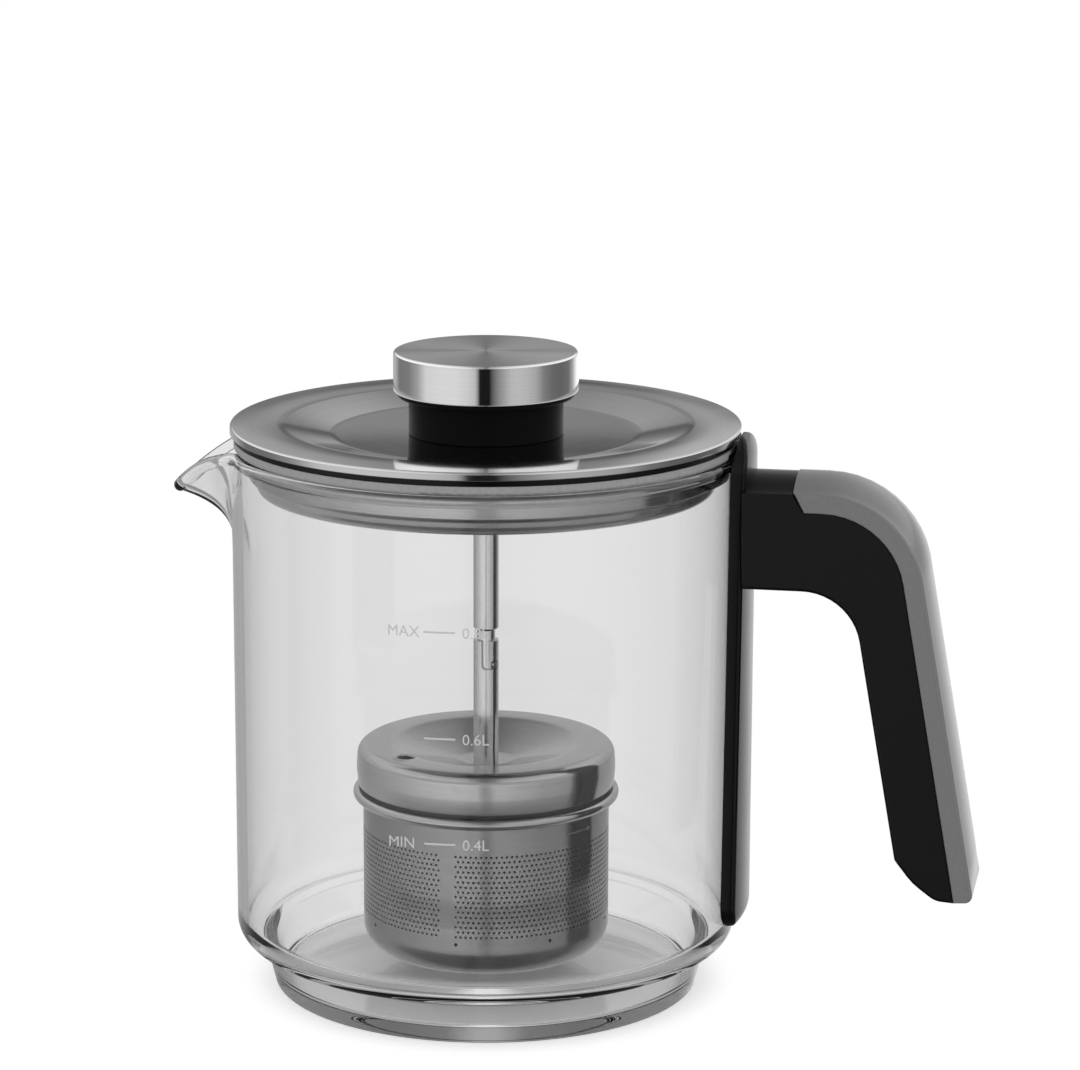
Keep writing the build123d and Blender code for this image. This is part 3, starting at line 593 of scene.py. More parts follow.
def clear_glass():
    """Blown glass: clear, slightly grey through its thickness, with very faint waviness."""
    material, tree, surface = blank_material(
        "clear glass", Base_Color=grey(GLASS_GREY), Roughness=0.0, IOR=GLASS_INDEX,
        Transmission_Weight=1.0,
    )
    stretched = add(tree, "ShaderNodeMapping", {"Vector": place_on(tree), "Scale": GLASS_STRETCH})
    waves = add(tree, "ShaderNodeTexNoise", {"Vector": stretched.outputs["Vector"], **GLASS_WAVES})
    raise_marks(tree, surface, waves.outputs["Fac"], WAVE_STRENGTH, WAVE_DEPTH)
    body = add(tree, "ShaderNodeVolumeAbsorption", {"Color": grey(0.0), "Density": GLASS_DENSITY})
    tree.links.new(body.outputs["Volume"], tree.nodes["Material Output"].inputs["Volume"])
    return material


STEEL = {  # each with its tone, roughness, grain, anisotropy and bump
    "lid": turned_steel("satin lid steel", 0.56, 0.085, 2600, 0.3, 0.03),
    "pan": turned_steel("drawn pan steel", 0.5, 0.14, 1800, 0.0, 0.0),
    # darker copy of the pan steel for its upper side and flange: a painted dark reflection
    "pan painted darker": turned_steel("pan steel with painted dark reflection", 0.44, 0.12, 1800, 0.0, 0.0),
    "knob": turned_steel("turned knob steel", 0.46, 0.3, 4200, 0.95, 0.3),
    "infuser": turned_steel("spun cap steel", 0.5, 0.15, 2200, 0.5, 0.05),
    "basket": turned_steel("rolled basket steel", 0.3, 0.13, 1500, 0.0, 0.0),
    "mirror": turned_steel("polished steel", 0.74, 0.05, 3000, 0.0, 0.01),
    # near black steel for the basket's inside and for the wall above its ring, under the cap:
    # painted shade
    "inside": turned_steel("basket steel painted as shade", 0.06, 0.4, 1500, 0.0, 0.0),
    "rod": drawn_steel("drawn rod steel", 0.66, 0.12),  # tone and roughness
    "hardware": turned_steel("machined steel", 0.56, 0.3, 3000, 0.4, 0.1),
}
BLACK = moulded_plastic("black plastic", 0.002, 0.24, bump=0.12, Specular_IOR_Level=0.2)
NECK_BLACK = moulded_plastic(
    "black heat proof plastic", 0.006, 0.3, bump=0.12, Specular_IOR_Level=0.02
)
COVER_GREY = moulded_plastic(
    "grey satin plastic", 0.15, 0.32, grain=3600, bump=0.15, Coat_Weight=0.25
)
SEAL_GREY = moulded_plastic("grey silicone", 0.28, 0.45, grain=1200, bump=0.1)
BRASS = turned_steel("machined brass", 0.5, 0.3, 3000, 0.3, 0.2)
PRINT = moulded_plastic("scale print", 0.5, 0.6, grain=5200, bump=0.1)
ETCHED = moulded_plastic("etched mark", 0.14, 0.6, grain=5200, bump=0.1)
GLASS = clear_glass()


# ---- Glass jug ----
def mouth_reach(turn):
    """Distance from the axis to the end of the wall, in a direction measured from the spout's."""
    centre = LIP_REACH - LIP_NOSE
    away_along = JUG_RADIUS * cos(LIP_SPREAD) - centre
    away_across = JUG_RADIUS * sin(LIP_SPREAD)
    tilt = atan2(away_across, away_along) - acos(LIP_NOSE / hypot(away_along, away_across))
    touch = atan2(LIP_NOSE * sin(tilt), centre + LIP_NOSE * cos(tilt))
    side = centre * cos(tilt) + LIP_NOSE
    if turn < touch:
        lip = centre * cos(turn) + sqrt(LIP_NOSE ** 2 - (centre * sin(turn)) ** 2)
    elif turn < tilt:
        lip = side / cos(turn - tilt)
    else:
        lip = side
    out = max(0.0, lip - JUG_RADIUS)
    share = min(1.0, out / LIP_BLEND)
    return JUG_RADIUS + out * share * share * (3 - 2 * share)


def wall_end(turn):
    """How far the wall's end leans out and how high it is, in a direction from the spout's."""
    out = mouth_reach(turn) - JUG_RADIUS
    droop = LIP_DROOP * (out / (LIP_REACH - JUG_RADIUS)) ** DROOP_POWER
    return out, JUG_HEIGHT - BEAD_RADIUS - droop


def lip_section(out, share):
    """Lean and slope of the wall at a share of the lip's height, for its lean at the end."""
    lean = out * ((1 - LIP_CURL) * share ** EARLY_POWER + LIP_CURL * share ** LATE_POWER)
    early = EARLY_POWER * (1 - LIP_CURL) * share ** (EARLY_POWER - 1)
    late = LATE_POWER * LIP_CURL * share ** (LATE_POWER - 1)
    return lean, out * (early + late) / LIP_HEIGHT


def wall_line(turn, depth, gap):
    """Upper wall in one direction, a depth in from the outside, up to a gap before its end."""
    out, top = wall_end(turn)
    foot = top - LIP_HEIGHT
    points = []
    for step in range(LOW_WALL_STEPS):
        points.append((JUG_RADIUS - depth, LOW_WALL + (foot - LOW_WALL) * step / LOW_WALL_STEPS))
    last = 1 - gap / LIP_HEIGHT / hypot(1, lip_section(out, 1)[1])
    for step in range(WALL_STEPS + 1):
        share = last * sin(pi / 2 * step / WALL_STEPS)
        lean, slope = lip_section(out, share)
        length = hypot(1, slope)
        points.append((
            JUG_RADIUS + lean - depth / length, foot + LIP_HEIGHT * share + depth * slope / length,
        ))
    return points


def bead_line(turn):
    """Round bead along the mouth, from the wall's outside over to its inside."""
    lean, top = wall_end(turn)
    bend = atan2(lip_section(lean, 1)[1], 1)
    across, up = -cos(bend), sin(bend)
    out = JUG_RADIUS + lean + across * GLASS_WALL / 2
    high = top + up * GLASS_WALL / 2
    points = []
    for step in range(BEAD_STEPS + 1):
        angle = BEAD_START + (pi - 2 * BEAD_START) * step / BEAD_STEPS
        side, ahead = -BEAD_RADIUS * cos(angle), BEAD_RADIUS * sin(angle)
        points.append((out + across * side + up * ahead, high + up * side - across * ahead))
    return points


def glass_directions():
    """Directions round the jug from the spout's, close together along the lip."""
    turns = []
    turn = 0.0
    while turn < pi:
        turns.append(turn)
        turn += NOSE_STEP if turn < NOSE_FIELD else LIP_STEP if turn < LIP_FIELD else ROUND_STEP
    return [-turn for turn in reversed(turns[1:])] + turns + [pi]


def tea_glass():
    """One blown wall from the foot to the bead, with the drawn pouring lip at -X."""
    throat = FOOT_HEIGHT + GLASS_WALL
    outside = [(p.x, p.y) for p in rounded([
        (0, 0, 0), (FOOT_RADIUS / 2, 0, 0), (FOOT_RADIUS, 0, 0.8),
        (FOOT_RADIUS + FOOT_FLARE, FOOT_HEIGHT - 0.8, 0.6), (JUG_RADIUS - LEDGE, FOOT_HEIGHT, 0.5),
        (JUG_RADIUS, FOOT_HEIGHT, SHOULDER), (JUG_RADIUS, LOW_WALL / 2, 0),
    ])]
    inner = JUG_RADIUS - GLASS_WALL
    inside = [(p.x, p.y) for p in rounded([
        (inner, LOW_WALL / 2, 0), (inner, throat, SHOULDER), (FOOT_RADIUS, throat, GLASS_WALL),
        (FOOT_RADIUS - FOOT_FLARE, FLOOR, GLASS_WALL), (FOOT_RADIUS / 2, FLOOR, 0), (0, FLOOR, 0),
    ])]
    gap = -BEAD_RADIUS * sin(BEAD_START)
    loops = []
    for turn in glass_directions():
        off = abs(turn)
        outer_wall = wall_line(off, 0, gap)
        inner_wall = wall_line(off, GLASS_WALL, gap)
        profile = outside + outer_wall[:-1] + bead_line(off) + inner_wall[-2::-1] + inside
        azimuth = pi + turn
        loops.append([(r * cos(azimuth), r * sin(azimuth), z) for r, z in profile])
    return loops_joined("tea_glass", loops)


finished(tea_glass(), "jug", "clear_glass", GLASS, "glass_jug")


# ---- Marks printed on the glass ----
def printed_text(words, left, low, height):
    """Flat shape of a few plain characters, as points and faces with its corner at left, low."""
    line = bpy.data.curves.new("print", "FONT")
    line.body = words
    line.size = height / CAPITAL_SHARE
    line.resolution_u = PRINT_CURVE_STEPS
    holder = placed("print", line)
    bpy.context.view_layer.update()
    evaluated = holder.evaluated_get(bpy.context.evaluated_depsgraph_get())
    mesh = bpy.data.meshes.new_from_object(evaluated)
    points = [(left + v.co.x, low + v.co.y) for v in mesh.vertices]
    faces = [tuple(face.vertices) for face in mesh.polygons]
    bpy.data.objects.remove(holder)
    return points, faces


def printed_line(left, middle):
    """Short level mark, cut up so that it can bend round the wall."""
    points, faces = [], []
    for step in range(PRINT_LINE_STEPS + 1):
        along = left + PRINT_LINE * step / PRINT_LINE_STEPS
        points += [(along, middle - PRINT_STROKE / 2), (along, middle + PRINT_STROKE / 2)]
    for step in range(PRINT_LINE_STEPS):
        faces.append((2 * step, 2 * step + 2, 2 * step + 3, 2 * step + 1))
    return points, faces


def wrapped(name, parts, wall_radius, middle_azimuth):
    """Marks laid on a round wall; their zero is at the given azimuth."""
    radius = wall_radius + PRINT_LIFT
    points, faces = put_together(parts)
    vertices = []
    for across, up in points:
        azimuth = middle_azimuth + across / radius
        vertices.append((radius * cos(azimuth), radius * sin(azimuth), up))
    made = piece_from(name, vertices, faces)
    outward = sum(face.normal.dot(face.center) for face in made.data.polygons)
    if outward < 0:
        made.data.flip_normals()
    return made


marks = []
for words, litres, height in SCALE:
    marks.append(printed_line(PRINT_LINE_LEFT, height))
    marks.append(printed_text(litres, PRINT_NUMBER_LEFT, height - PRINT_HEIGHT / 2, PRINT_HEIGHT))
    if words:
        marks.append(printed_text(words, PRINT_WORD_LEFT, height - PRINT_HEIGHT / 2, PRINT_HEIGHT))
finished(wrapped("filling_marks", marks, JUG_RADIUS, FRONT), "jug", "grey_cover", PRINT)


# ---- Strap and handle ----
def rounded_off(radius, past):
    """How far a rounded corner draws in, a distance past its start."""
    return radius - sqrt(max(0.0, radius ** 2 - max(0.0, past) ** 2))


def band_levels():
    """Heights of the band's sections, close together where its ends are round."""
    levels = set(np.linspace(STRAP_BOTTOM, STRAP_TOP, STRAP_SECTIONS).round(3))
    for step in range(END_STEPS + 1):
        left = 1 - sin(pi / 2 * step / END_STEPS)
        levels.add(round(STRAP_BOTTOM + STRAP_CORNER * left, 3))
        levels |= {round(STRAP_TOP - corner * left, 3) for corner in (HEAD_ROUND, HEAD_CORNER)}
    return sorted(levels)


def band_width(up):
    """Width of the band at a height: wider downwards, with round corners at both ends."""
    share = (up - STRAP_BOTTOM) / (STRAP_TOP - STRAP_BOTTOM)
    width = STRAP_BOTTOM_WIDTH + (STRAP_TOP_WIDTH - STRAP_BOTTOM_WIDTH) * share
    low_corner = rounded_off(STRAP_CORNER, STRAP_BOTTOM + STRAP_CORNER - up)
    return width - 2 * low_corner - 2 * rounded_off(HEAD_CORNER, up - STRAP_TOP + HEAD_CORNER)


def band_faces(up):
    """Distances of the band's inner and outer face from the jug's axis at a height."""
    inner = HEAD_INSIDE if up > JUG_HEIGHT else STRAP_INSIDE
    swell = min(1.0, max(0.0, (up - ARM_MIDDLE) / (ARM_TOP - ARM_MIDDLE)))
    outer = STRAP_OUTSIDE + (HEAD_OUTSIDE - STRAP_OUTSIDE) * swell
    slimmer = (HEAD_OUTSIDE - HEAD_INSIDE - HEAD_LEFT) / HEAD_ROUND
    outer -= slimmer * rounded_off(HEAD_ROUND, up - STRAP_TOP + HEAD_ROUND)
    band = STRAP_OUTSIDE - STRAP_INSIDE
    return inner, outer - STRAP_END_SHARE * rounded_off(band, STRAP_BOTTOM + band - up)


def strap_band():
    """Band moulded to the glass, with round ends and a thicker domed head."""
    loops = []
    for up in band_levels():
        half = band_width(up) / 2
        inner, outer = band_faces(up)
        edge = min(STRAP_EDGE, (outer - inner) / 2)
        side = [(half - STRAP_BACK_EDGE, inner), (half, inner + STRAP_BACK_EDGE)]
        for step in range(EDGE_STEPS + 1):
            angle = pi / 2 * step / EDGE_STEPS
            side.append((half - edge * (1 - cos(angle)), outer - edge * (1 - sin(angle))))
        for step in range(FACE_STEPS, 0, -1):
            side.append((half * FACE_SHARE * step / FACE_STEPS, outer))
        row = side + [(0.0, outer)] + [(-across, radius) for across, radius in reversed(side)]
        for step in range(-BACK_STEPS, BACK_STEPS + 1):
            row.append((half * BACK_SHARE * step / BACK_STEPS, inner))
        loops.append([(sqrt(radius ** 2 - across ** 2), across, up) for across, radius in row])
    return loops_joined("handle_band", loops, around=False, capped=True)


def inset(points, amount):
    """Outline with each point moved inwards by its own amount."""
    count = len(points)
    area = 0
    for index, (across, up) in enumerate(points):
        area += points[index - 1][0] * up - across * points[index - 1][1]
    side = 1 if area > 0 else -1
    moved = []
    for index in range(count):
        here = Vector(points[index])
        back = (here - Vector(points[index - 1])).normalized()
        ahead = (Vector(points[(index + 1) % count]) - here).normalized()
        left = Vector((-back.y, back.x)) * side
        right = Vector((-ahead.y, ahead.x)) * side
        offset = (left + right) / max(0.3, 1 + left.dot(right))
        moved.append(here + offset * amount[index])
    return moved


def swollen(points, first_width, share):
    """Moves the crowned points of an outline outwards, for a place across the handle."""
    moved = list(points)
    for index in range(first_width):
        back = Vector(points[max(index - 1, 0)])
        ahead = Vector(points[min(index + 1, first_width - 1)])
        along = (ahead - back).normalized()
        out = Vector((-along.y, along.x))
        swell = CROWN + CROWN_ON_TOP * max(0.0, out.y)
        past = points[index][1] - GRIP_BOTTOM - CROWN_FADE[0]
        fade = min(1.0, max(0.0, past / (CROWN_FADE[1] - CROWN_FADE[0])))
        moved[index] = Vector(points[index]) + out * swell * fade * (1 - share ** 2)
    return moved


def handle_part(name, outer, inner, outer_round, inner_round, half_width, crowned):
    """Solid of one width between two lines in the handle's plane, its long edges rounded.

    The first corners of the outer line are crowned: that side swells towards the middle.
    """
    corners = outer + inner
    path, rounds = [], []
    crowned_points = 0
    for index in range(len(corners)):
        arc = corner_points(corners, index)
        path += arc
        rounds += [outer_round if index < len(outer) else inner_round] * len(arc)
        crowned_points += len(arc) if index < crowned else 0
    sections = [([radius + SIDE_INSET for radius in rounds], [half_width] * len(path), 1.0)]
    for step in range(ROUND_STEPS + 1):
        angle = pi / 2 * step / ROUND_STEPS
        amount = [radius * (1 - sin(angle)) for radius in rounds]
        width = [half_width - radius * (1 - cos(angle)) for radius in rounds]
        sections.append((amount, width, 1.0))
    for step in range(1, CROWN_STEPS + 1):
        share = 1 - step / CROWN_STEPS
        sections.append(([0.0] * len(path), [(half_width - EDGE_ROUND) * share] * len(path), share))
    loops = []
    for side in (-1, 1):
        made = []
        for amount, width, share in sections:
            flat = swollen(inset(path, amount), crowned_points, share)
            made.append([(p.x, side * width[index], p.y) for index, p in enumerate(flat)])
        loops += made if side < 0 else made[-2::-1]
    return loops_joined(name, loops, around=False, capped=True)


def leg_line(height, depth):
    """Place of the leaning leg's surface at a height, a depth in from its outer face."""
    return GRIP_REACH - tan(GRIP_SLOPE) * (height - GRIP_BOTTOM) - depth / cos(GRIP_SLOPE)


def outer_corner(depth):
    """Corner where the arm's top turns into the leg, a depth in from the outside."""
    return (leg_line(ARM_TOP - depth, depth), ARM_TOP - depth, BEND_OUTER - depth)


arm_bottom = ARM_TOP - ARM_HEIGHT
step_start = COVER_START - COVER_GAP
core_outer = [
    (ARM_START, ARM_TOP - ARM_STEP, 0), (step_start, ARM_TOP - ARM_STEP, 0),
    (step_start + COVER_RAKE, ARM_TOP - COVER_DEPTH, 0), outer_corner(COVER_DEPTH),
    (leg_line(GRIP_BOTTOM, COVER_DEPTH), GRIP_BOTTOM, 0),
]
core_inner = [
    (leg_line(GRIP_BOTTOM + up, GRIP_DEPTH) + out, GRIP_BOTTOM + up, corner)
    for out, up, corner in TOE_CORNERS
]
core_inner += [
    (leg_line(arm_bottom, GRIP_DEPTH), arm_bottom, BEND_INNER), (ARM_START, arm_bottom, 0),
]
cover_outer = [(COVER_START, ARM_TOP, 0), outer_corner(0)]
for step in range(FADE_STEPS + 1):
    height = GRIP_BOTTOM + CROWN_FADE[1] + (CROWN_FADE[0] - CROWN_FADE[1]) * step / FADE_STEPS
    cover_outer.append((leg_line(height, 0), height, 0))
cover_outer.append((GRIP_REACH, GRIP_BOTTOM, TOE_ROUND))
cover_inner = [
    (leg_line(GRIP_BOTTOM, COVER_DEPTH), GRIP_BOTTOM, 0), outer_corner(COVER_DEPTH),
    (COVER_START + COVER_RAKE, ARM_TOP - COVER_DEPTH, 0),
]
half_grip = GRIP_WIDTH / 2
crowned_corners = len(cover_outer) - 1
core = handle_part("handle_core", core_outer, core_inner, SEAM_ROUND, EDGE_ROUND, half_grip, 2)
shell = handle_part(
    "handle_shell", cover_outer, cover_inner, EDGE_ROUND, SEAM_ROUND, half_grip, crowned_corners
)
finished(strap_band(), "jug", "black_plastic", BLACK, "handle_strap")
finished(core, "jug", "black_plastic", BLACK, "handle_grip")
finished(shell, "jug", "grey_cover", COVER_GREY, "handle_cover")


# ---- Lid ----
lid_under = LID_TOP - LID_SHEET
dish_floor = LID_TOP - DISH_DEPTH
lid_disc = turned("lid_disc", [
    (STUD_HOLE, dish_floor, 0), (DISH_FLOOR_RADIUS, dish_floor, DISH_ROUND),
    (DISH_TOP_RADIUS, LID_TOP, DISH_ROUND), (LID_RADIUS, LID_TOP, 0.55),
    (LID_RADIUS, LID_TOP - HEM, 0.2), (LID_RADIUS - LID_SHEET, LID_TOP - HEM, 0),
    (LID_RADIUS - LID_SHEET, lid_under, 0), (DISH_TOP_RADIUS, lid_under, DISH_ROUND),
    (DISH_FLOOR_RADIUS, dish_floor - LID_SHEET, DISH_ROUND), (STUD_HOLE, dish_floor - LID_SHEET, 0),
])
finished(lid_disc, "lid", "brushed_steel", STEEL["lid"], "lid_cover")

flange_edge = PLUG_RADIUS + PLUG_FLANGE
line_radius = SEAL_RADIUS - LID_SHEET / 2
ring_inside = LID_RADIUS - CARRIER_WIDTH
lid_ring = turned("lid_ring", [
    (ring_inside, SEAL_TOP + LID_SHEET, 0), (flange_edge, SEAL_TOP + LID_SHEET, 0),
    (flange_edge, SEAL_TOP, 0), (line_radius, SEAL_TOP, 0), (line_radius, lid_under, 0),
    (ring_inside, lid_under, 0),
])
finished(lid_ring, "lid", "black_plastic", BLACK, "lid_carrier")

step_inside = PLUG_STEP_HEIGHT + LID_SHEET / 2
side_bottom = PLUG_STEP_HEIGHT - LID_SHEET / 2
low_radius = PLUG_RADIUS - PLUG_STEP
tread = low_radius - PLUG_TREAD
raised = tread - PLUG_RAMP
lid_pan = turned("lid_pan", [
    (flange_edge, SEAL_TOP, 0), (PLUG_RADIUS, SEAL_TOP, 0), (PLUG_RADIUS, PLUG_STEP_HEIGHT, 0.4),
    (low_radius, PLUG_STEP_HEIGHT - LID_SHEET, 0.3), (low_radius - PLUG_TAPER, PLUG_BOTTOM, 2.2),
    (tread, PLUG_BOTTOM, 0.4), (raised, PLUG_FLOOR, 0.4), (STUD_HOLE, PLUG_FLOOR, 0),
    (STUD_HOLE, PLUG_FLOOR + LID_SHEET, 0), (raised, PLUG_FLOOR + LID_SHEET, 0.4),
    (tread, PLUG_BOTTOM + LID_SHEET, 0.4),
    (low_radius - PLUG_TAPER - LID_SHEET, PLUG_BOTTOM + LID_SHEET, 1.4),
    (low_radius - LID_SHEET, side_bottom, 0),
    (PLUG_RADIUS - LID_SHEET, step_inside, 0), (PLUG_RADIUS - LID_SHEET, SEAL_TOP + LID_SHEET, 0),
    (flange_edge, SEAL_TOP + LID_SHEET, 0),
])
finished(lid_pan, "lid", "brushed_steel", STEEL["pan"], "lid_plug")
# painted dark reflection: the pan's upper side and flange take the darker copy of its steel
second_finish(lid_pan, STEEL["pan painted darker"], lambda face: face.center.z > side_bottom * MM)


# ---- Knob ----
boss_radius = CAP_RADIUS - CAP_WALL
boss_top = CAP_TOP - CAP_WALL
neck = turned("knob_neck", [
    (0, dish_floor, 0), (NECK_RADIUS, dish_floor, 0.3), (NECK_RADIUS, NECK_TOP, 0.5),
    (FLANGE_RADIUS, NECK_TOP, 0.8), (FLANGE_RADIUS, FLANGE_TOP, 0.2), (boss_radius, FLANGE_TOP, 0),
    (boss_radius, boss_top, 0), (0, boss_top, 0),
])
finished(neck, "lid", "black_plastic", NECK_BLACK, "knob_base")
cap = turned("knob_disc", [
    (boss_radius, FLANGE_TOP, 0), (CAP_RADIUS, FLANGE_TOP, 0.25),
    (CAP_RADIUS, FLANGE_TOP + CAP_EDGES[0], 0), (CAP_RADIUS, CAP_TOP - CAP_EDGES[1], 0),
    (CAP_RADIUS, CAP_TOP, 0.6), (CAP_RADIUS / 2, CAP_TOP, 0), (0, CAP_TOP, 0), (0, boss_top, 0),
    (boss_radius, boss_top, 0),
])
finished(cap, "lid", "polished_steel", STEEL["mirror"], "knob_cap")
second_finish(cap, STEEL["knob"], lambda face: face.normal.z > TOP_FACING)


# ---- Rod ----
rod = turned("lifting_rod", [
    (0, ROD_TIP, 0), (SPIGOT_RADIUS - ROD_BEVEL, ROD_TIP, 0),
    (SPIGOT_RADIUS, ROD_TIP + ROD_BEVEL, 0), (SPIGOT_RADIUS, ROD_END, 0),
    (ROD_RADIUS - ROD_BEVEL, ROD_END, 0),
    (ROD_RADIUS, ROD_END + ROD_BEVEL, 0), (ROD_RADIUS, ROD_TOP, 0), (STUD_RADIUS, ROD_TOP, 0),
    (STUD_RADIUS, STUD_TOP, 0), (0, STUD_TOP, 0),
], steps=ROD_STEPS)
finished(rod, "lid", "polished_steel", STEEL["rod"], "upper_rod")


# ---- Infuser cap ----
cap_under = INFUSER_TOP - CAP_SHEET
cap_inside = INFUSER_RADIUS - CAP_SHEET
infuser_cap = turned("infuser_cap", [
    (STUD_RADIUS, SEAT_TOP, 0), (SEAT_RADIUS, SEAT_TOP, 3), (BOWL_RADIUS, INFUSER_TOP, 9),
    (INFUSER_RADIUS - CAP_CROWN, INFUSER_TOP, 2.4), (INFUSER_RADIUS, CAP_CROWN_HEIGHT, 12),
    (INFUSER_RADIUS - CAP_CROWN, SKIRT_BOTTOM, 0.2), (cap_inside - CAP_CROWN, SKIRT_BOTTOM, 0),
    (cap_inside - CAP_CROWN, cap_under, 1.8), (BOWL_RADIUS, cap_under, 9),
    (SEAT_RADIUS, SEAT_TOP - CAP_SHEET, 3), (STUD_RADIUS, SEAT_TOP - CAP_SHEET, 0),
])


def with_vent(piece):
    """Cuts the round vent through the cap."""
    rings = []
    for depth in VENT_CUT:
        ring = []
        for step in range(VENT_STEPS):
            turn = tau * step / VENT_STEPS
            across = VENT_PLACE * cos(VENT_AZIMUTH) + VENT_RADIUS * cos(turn)
            deep = VENT_PLACE * sin(VENT_AZIMUTH) + VENT_RADIUS * sin(turn)
            ring.append((across, deep, INFUSER_TOP + depth))
        rings.append(ring)
    cutter = loops_joined("vent_cutter", rings, around=False, capped=True)
    cut = piece.modifiers.new("vent", "BOOLEAN")
    cut.object = cutter
    cut.operation = "DIFFERENCE"
    cut.solver = "EXACT"
    plain_mesh(piece)
    bpy.data.objects.remove(cutter)
    return piece


finished(with_vent(infuser_cap), "infuser", "brushed_steel", STEEL["infuser"], "infuser_lid")


# ---- Basket ----
def wall_tile(name, width, height, hole_radius):
    """One field of the basket's sheet with a hole, outside at zero and inside a sheet below."""
    rim = [(-1, -1), (0, -1), (1, -1), (1, 0), (1, 1), (0, 1), (-1, 1), (-1, 0)]
    count = len(rim)  # vertices come as outer rim, outer hole, inner rim, inner hole
    vertices, faces = [], []
    for depth in (0.0, -BASKET_WALL):
        vertices += [(x * width / 2, y * height / 2, depth) for x, y in rim]
        for x, y in rim:
            turn = atan2(y, x)
            vertices.append((hole_radius * cos(turn), hole_radius * sin(turn), depth))
    for step in range(count):
        after = (step + 1) % count
        faces.append((step, after, count + after, count + step))
        faces.append((2 * count + after, 2 * count + step, 3 * count + step, 3 * count + after))
        faces.append((count + step, count + after, 3 * count + after, 3 * count + step))
    if hole_radius == 0:
        faces = [tuple(range(count)), tuple(reversed(range(2 * count, 3 * count)))]
        vertices = vertices[:3 * count]
    return placed(name, raw_mesh(name, vertices, faces))


def perforation_tree():
    """Lays fields of sheet in rows, every other row half a field on, and rolls them up."""
    tree = bpy.data.node_groups.new("Rolled perforated sheet", "GeometryNodeTree")
    face = tree.interface
    face.new_socket("Geometry", in_out="INPUT", socket_type="NodeSocketGeometry")
    for kind, labels in (
        ("Object", ("Holed Field", "Plain Field")),
        ("Int", ("Columns", "Rows", "Holed Columns", "Hole Every")),
        ("Float", ("Field Width", "Field Height", "Bottom", "Radius", "Start Azimuth")),
        ("Material", ("Material",)),
    ):
        for label in labels:
            face.new_socket(label, in_out="INPUT", socket_type="NodeSocket" + kind)
    face.new_socket("Geometry", in_out="OUTPUT", socket_type="NodeSocketGeometry")
    given = tree.nodes.new("NodeGroupInput").outputs

    def sum_of(kind, first, second=0.0, third=0.0):
        return number(tree, kind, first, second, third)

    count = sum_of("MULTIPLY", given["Columns"], given["Rows"])
    points = add(tree, "GeometryNodePoints", {"Count": count}).outputs["Points"]
    index = add(tree, "GeometryNodeInputIndex").outputs[0]
    row = sum_of("FLOOR", sum_of("DIVIDE", sum_of("ADD", index, 0.5), given["Columns"]))
    column = sum_of("SUBTRACT", index, sum_of("MULTIPLY", row, given["Columns"]))
    shift = sum_of("MULTIPLY", sum_of("MODULO", row, 2.0), 0.5)
    across = sum_of("MULTIPLY", sum_of("ADD", column, shift), given["Field Width"])
    up = sum_of("MULTIPLY_ADD", sum_of("ADD", row, 0.5), given["Field Height"], given["Bottom"])
    place = add(tree, "ShaderNodeCombineXYZ", {"X": across, "Y": up}).outputs[0]
    laid = add(tree, "GeometryNodeSetPosition", {"Geometry": points, "Position": place}).outputs[0]
    inside = sum_of("LESS_THAN", column, given["Holed Columns"])
    share = sum_of("MODULO", column, given["Hole Every"])
    chosen = sum_of("MULTIPLY", inside, sum_of("LESS_THAN", share, 0.5))
    joined = tree.nodes.new("GeometryNodeJoinGeometry")
    others = sum_of("SUBTRACT", 1.0, chosen)
    for field, selection in (("Holed Field", chosen), ("Plain Field", others)):
        shape = add(tree, "GeometryNodeObjectInfo", {"Object": given[field]}).outputs["Geometry"]
        inputs = {"Points": laid, "Selection": selection, "Instance": shape}
        put = add(tree, "GeometryNodeInstanceOnPoints", inputs)
        tree.links.new(put.outputs[0], joined.inputs[0])
    real = add(tree, "GeometryNodeRealizeInstances", {"Geometry": joined.outputs[0]}).outputs[0]
    position = add(tree, "GeometryNodeInputPosition").outputs[0]
    here = add(tree, "ShaderNodeSeparateXYZ", {"Vector": position})
    turn = sum_of("DIVIDE", here.outputs["X"], given["Radius"])
    angle = sum_of("ADD", turn, given["Start Azimuth"])
    out = sum_of("ADD", given["Radius"], here.outputs["Z"])
    rolled = add(tree, "ShaderNodeCombineXYZ", {
        "X": sum_of("MULTIPLY", out, sum_of("COSINE", angle)),
        "Y": sum_of("MULTIPLY", out, sum_of("SINE", angle)),
        "Z": here.outputs["Y"],
    })
    inputs = {"Geometry": real, "Position": rolled.outputs[0]}
    bent = add(tree, "GeometryNodeSetPosition", inputs).outputs[0]
    inputs = {"Geometry": bent, "Distance": SHEET_MERGE}
    merged = add(tree, "GeometryNodeMergeByDistance", inputs).outputs[0]
    inputs = {"Geometry": merged, "Material": given["Material"]}
    dressed = add(tree, "GeometryNodeSetMaterial", inputs)
    result = tree.nodes.new("NodeGroupOutput")
    tree.links.new(dressed.outputs[0], result.inputs["Geometry"])
    return tree


def rolled_sheet(name, tree, **values):
    """Piece made by the tree, as a plain mesh."""
    made = placed(name, bpy.data.meshes.new(name))
    nodes = made.modifiers.new("sheet", "NODES")
    nodes.node_group = tree
    inputs = [item for item in tree.interface.items_tree if item.in_out == "INPUT"]
    sockets = {item.name: item.identifier for item in inputs}
    for label, value in values.items():
        nodes[sockets[label.replace("_", " ")]] = value
    bpy.context.view_layer.update()
    return plain_mesh(made)


